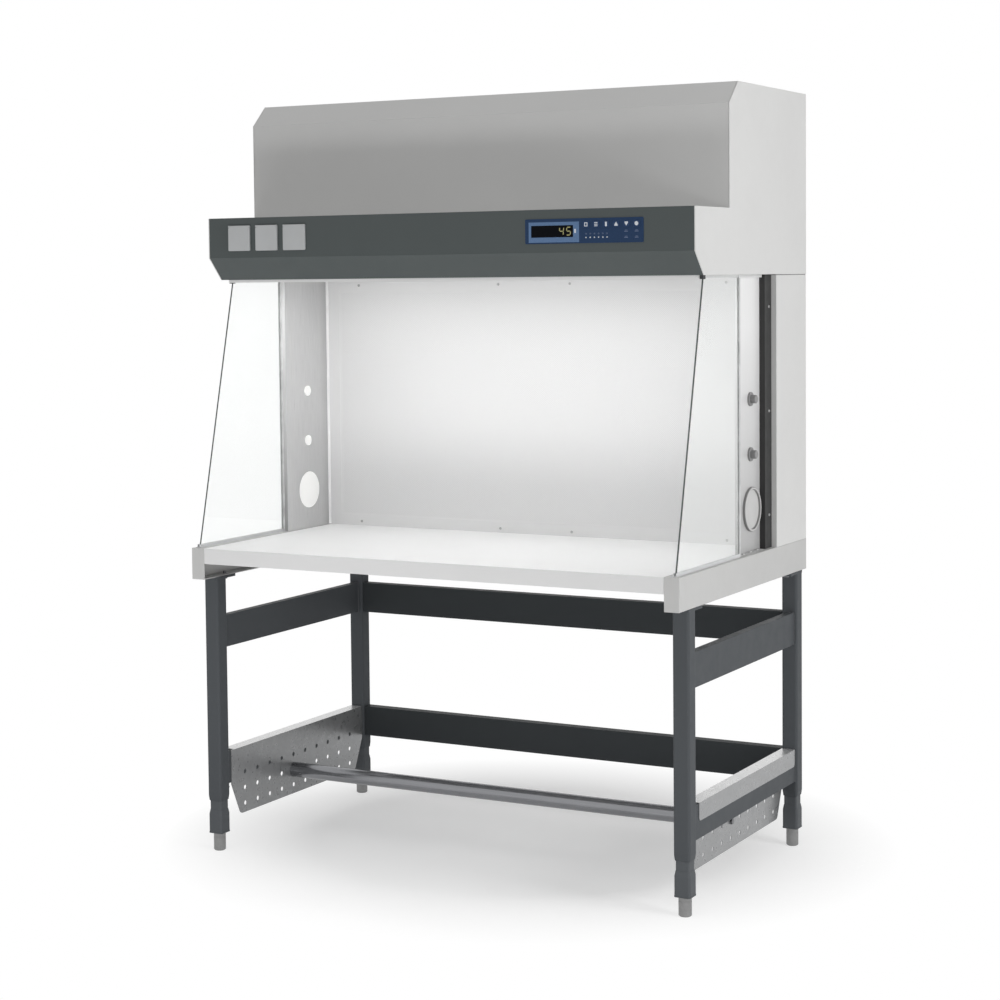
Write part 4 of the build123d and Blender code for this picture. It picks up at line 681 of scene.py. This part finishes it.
# Weld beads where the stand's rails meet its legs: low x, high x, low z and high z of each rail,
# and y of the legs' faces that the rails end at.
RAIL_ENDS = (
    (622 * MM, 642 * MM, 508 * MM, 588 * MM),
    (614 * MM, 644 * MM, 165 * MM, 245 * MM),
)
LEG_FACES = (-310 * MM, 331 * MM)
WELD_RADIUS, WELD_STEP = 1.6 * MM, 3.0 * MM
WELD_SIDES = 8
RIPPLES = ((0.18, 1.9), (0.08, 0.7))
Y_AXIS = Vector((0, 1, 0))


def bead_loop(built, corners, radius, step):
    """A bead along a closed loop of corner points, with a ring of points at each step. Each of the
    RIPPLES is a share of the radius and a turn from ring to ring."""
    rings = []
    ripple = 0
    for i, start in enumerate(corners):
        end = corners[(i + 1) % len(corners)]
        run = end - start
        count = max(2, int(run.length / step))
        direction = run.normalized()
        side = direction.cross(Y_AXIS).normalized()
        for k in range(count):
            ripple += 1
            size = radius * (1.0 + sum(share * math.sin(ripple * turn) for share, turn in RIPPLES))
            centre = start + run * (k / count)
            ring = []
            for t in range(WELD_SIDES):
                angle = 2 * math.pi * t / WELD_SIDES
                out, along_y = size * math.cos(angle), size * math.sin(angle)
                ring.append(built.verts.new(centre + side * out + Y_AXIS * along_y))
            rings.append(ring)
    for i, ring in enumerate(rings):
        following = rings[(i + 1) % len(rings)]
        for t in range(WELD_SIDES):
            u = (t + 1) % WELD_SIDES
            built.faces.new((ring[t], ring[u], following[u], following[t]))


def rail_welds(built):
    for side in (-1, 1):
        for low_x, high_x, low_z, high_z in RAIL_ENDS:
            for y in LEG_FACES:
                corners = [
                    Vector((side * low_x, y, low_z)), Vector((side * high_x, y, low_z)),
                    Vector((side * high_x, y, high_z)), Vector((side * low_x, y, high_z)),
                ]
                bead_loop(built, corners, WELD_RADIUS, WELD_STEP)


new_piece("rail_welds", rail_welds, weld_dark, smooth=True)


# foam strip in the seam between the head and the rear cover
SEAL_GAP = 0.1 * MM
SEAL_INSET = 1.2 * MM
SEAL_WIDTH = 12 * MM


def seam_seal(built):
    """Two sides and a rear strip between them."""
    cover_low, cover_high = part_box("rear_cover")
    head_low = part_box("head_side_right")[0]
    low, high = cover_high.z + SEAL_GAP, head_low.z - SEAL_GAP
    outer, rear = cover_high.x - SEAL_INSET, cover_high.y - SEAL_INSET
    inner = outer - SEAL_WIDTH
    for side in (-1, 1):
        left, right = sorted((side * outer, side * inner))
        add_block(built, (left, cover_low.y, low), (right, rear, high))
    add_block(built, (-inner, rear - SEAL_WIDTH, low), (inner, rear, high))


new_piece("seam_seal", seam_seal, seal_grey)


# sealant in the two upright corners between the columns and the rear wall
BEAD_RADIUS, BEAD_STEPS = 5 * MM, 6
BEAD_GAP = 0.5 * MM


def corner_beads(built):
    """A quarter-round bead in each corner, a little short of the wall's ends."""
    wall_low, wall_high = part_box("diffuser")
    for side in (-1, 1):
        outline = [(0, 0)]
        for i in range(BEAD_STEPS + 1):
            turn = math.pi / 2 * i / BEAD_STEPS
            outline.append((-side * BEAD_RADIUS * math.cos(turn), -BEAD_RADIUS * math.sin(turn)))
        rings = []
        for z in (wall_low.z + BEAD_GAP, wall_high.z - BEAD_GAP):
            rings.append([
                built.verts.new((side * wall_high.x + x, wall_low.y + y, z)) for x, y in outline])
        built.faces.new(rings[0])
        built.faces.new(rings[1])
        for i in range(len(outline)):
            j = (i + 1) % len(outline)
            built.faces.new((rings[0][i], rings[0][j], rings[1][j], rings[1][i]))


new_piece("corner_beads", corner_beads, bead_white)


# ---------------------------------------------------------------- floor, world and lamps
# The floor takes the object's shadow, is darker in an ellipse round it as a painted shadow, and
# fades into the white world beyond: half sizes of the ellipse in metres, and where the fade starts
# and ends as shares of them.
FLOOR_RADIUS, FLOOR_SIDES = 14, 64
FLOOR_PLACE = (0, 0.12, 0)
SHADOW_HALF_X, SHADOW_HALF_Y = 0.84, 0.8
FADE_START, FADE_END = 0.65, 1.12
FLOOR_GLOW = 0.3


def flat_disc(built):
    built.faces.new([
        built.verts.new((x, y, 0)) for x, y in disc_outline(0, 0, FLOOR_RADIUS, FLOOR_SIDES)])


def camera_like(tree):
    """1 for rays from the camera, from gloss and through glass."""
    path = tree.nodes.new("ShaderNodeLightPath")
    total = path.outputs["Is Camera Ray"]
    for name in ("Is Glossy Ray", "Is Transmission Ray"):
        join = tree.nodes.new("ShaderNodeMath")
        join.operation = "MAXIMUM"
        tree.links.new(total, join.inputs[0])
        tree.links.new(path.outputs[name], join.inputs[1])
        total = join.outputs[0]
    return total


floor_mesh = bpy.data.meshes.new("floor")
floor_built = bmesh.new()
flat_disc(floor_built)
floor_built.to_mesh(floor_mesh)
floor_built.free()
floor = bpy.data.objects.new("floor", floor_mesh)
floor.location = FLOOR_PLACE
bpy.context.scene.collection.objects.link(floor)

floor_material = Material("floor_matt")
grit = floor_material.noise(4, detail=4.0)
spread = floor_material.add("ShaderNodeVectorMath", operation="LENGTH")
floor_material.feed(
    spread.inputs[0], floor_material.stretched((1 / SHADOW_HALF_X, 1 / SHADOW_HALF_Y, 0)))
# far is 0 inside the ellipse of painted shadow and 1 beyond it
far = floor_material.ramp(spread.outputs["Value"], 0.0, 1.0, FADE_START, FADE_END)
seen = camera_like(floor_material.tree)
near_tone = floor_material.mix(
    floor_material.ramp(grit, 0, 1), colour(228, 228, 228), colour(232, 232, 232))
floor_material.set(base_color=floor_material.mix(
    floor_material.maths("MULTIPLY", seen, far), near_tone, BLACK))
floor_material.set(roughness=0.95, specular_ior_level=0.0, emission_color=WHITE)
floor_material.set(emission_strength=floor_material.maths(
    "MULTIPLY", seen, floor_material.ramp(far, FLOOR_GLOW, 1.0, 0.0, 1.0)))
floor_mesh.materials.append(floor_material.data)

# the world is white where it is seen, and lights the object with less
WORLD_LIGHT = 0.39
world = bpy.data.worlds.new("studio")
bpy.context.scene.world = world
world.use_nodes = True
backdrop = world.node_tree.nodes["Background"]
backdrop.inputs["Color"].default_value = WHITE
shown = camera_like(world.node_tree)
level = world.node_tree.nodes.new("ShaderNodeMapRange")
level.inputs["To Min"].default_value = WORLD_LIGHT
level.inputs["To Max"].default_value = 1.0
world.node_tree.links.new(shown, level.inputs["Value"])
world.node_tree.links.new(level.outputs["Result"], backdrop.inputs["Strength"])


def soft_lamp(name, place, target, size, watts):
    """A round area lamp that looks from place to target."""
    data = bpy.data.lights.new(name, "AREA")
    data.shape = "DISK"
    data.size = size
    data.energy = watts
    lamp = bpy.data.objects.new(name, data)
    bpy.context.scene.collection.objects.link(lamp)
    lamp.location = place
    lamp.rotation_mode = "QUATERNION"
    lamp.rotation_quaternion = (Vector(target) - Vector(place)).to_track_quat("-Z", "Y")
    return lamp


soft_lamp("lamp_right", place=(5.1, -0.6, 2.4), target=(0.3, 0, 1.1), size=2.4, watts=81)
soft_lamp("lamp_top", place=(0.3, -0.8, 5.0), target=(0, 0, 1.0), size=3.0, watts=19)
low_lamp = soft_lamp(
    "lamp_low", place=(-0.2, -1.6, 0.35), target=(-0.1, -0.35, 0.62), size=2.4, watts=10)
low_lamp.data.shape = "RECTANGLE"
low_lamp.data.size_y = 0.3
side_lamp = soft_lamp(
    "lamp_side", place=(3.3, -1.1, 0.6), target=(-0.6, -0.15, 0.6), size=0.7, watts=18)
for lamp in (low_lamp, side_lamp):
    lamp.visible_glossy = False
    lamp.visible_camera = False
    lamp.visible_transmission = False


# ---------------------------------------------------------------- camera
# solved from edges in the photograph; FOCAL_PIXELS, CENTRE and PICTURE are in its pixels
CAMERA_PLACE = (2.5156, -4.7503, 1.4250)
YAW, PITCH, ROLL = math.radians(28.94), math.radians(3.408), math.radians(-0.6056)
FOCAL_PIXELS = 2180.89
CENTRE_X, CENTRE_Y = 460.36, 407.05
PICTURE = 1000
SENSOR_WIDTH = 36
CLIP_END = 60

camera_data = bpy.data.cameras.new("camera")
camera = bpy.data.objects.new("camera", camera_data)
bpy.context.scene.collection.objects.link(camera)
bpy.context.scene.camera = camera
horizontal = math.cos(PITCH)
forward = Vector((-math.sin(YAW) * horizontal, math.cos(YAW) * horizontal, -math.sin(PITCH)))
right = Vector((math.cos(YAW), math.sin(YAW), 0))
upward = right.cross(forward)
tilted_right = right * math.cos(ROLL) + upward * math.sin(ROLL)
tilted_up = upward * math.cos(ROLL) - right * math.sin(ROLL)
turn = Matrix((tilted_right, tilted_up, -forward)).transposed()
camera.rotation_mode = "QUATERNION"
camera.rotation_quaternion = turn.to_quaternion()
camera.location = CAMERA_PLACE
camera_data.sensor_width = SENSOR_WIDTH
camera_data.lens = FOCAL_PIXELS / PICTURE * SENSOR_WIDTH
camera_data.shift_x = (PICTURE / 2 - CENTRE_X) / PICTURE
camera_data.shift_y = (CENTRE_Y - PICTURE / 2) / PICTURE
camera_data.clip_end = CLIP_END

bpy.context.scene.view_settings.view_transform = "Standard"
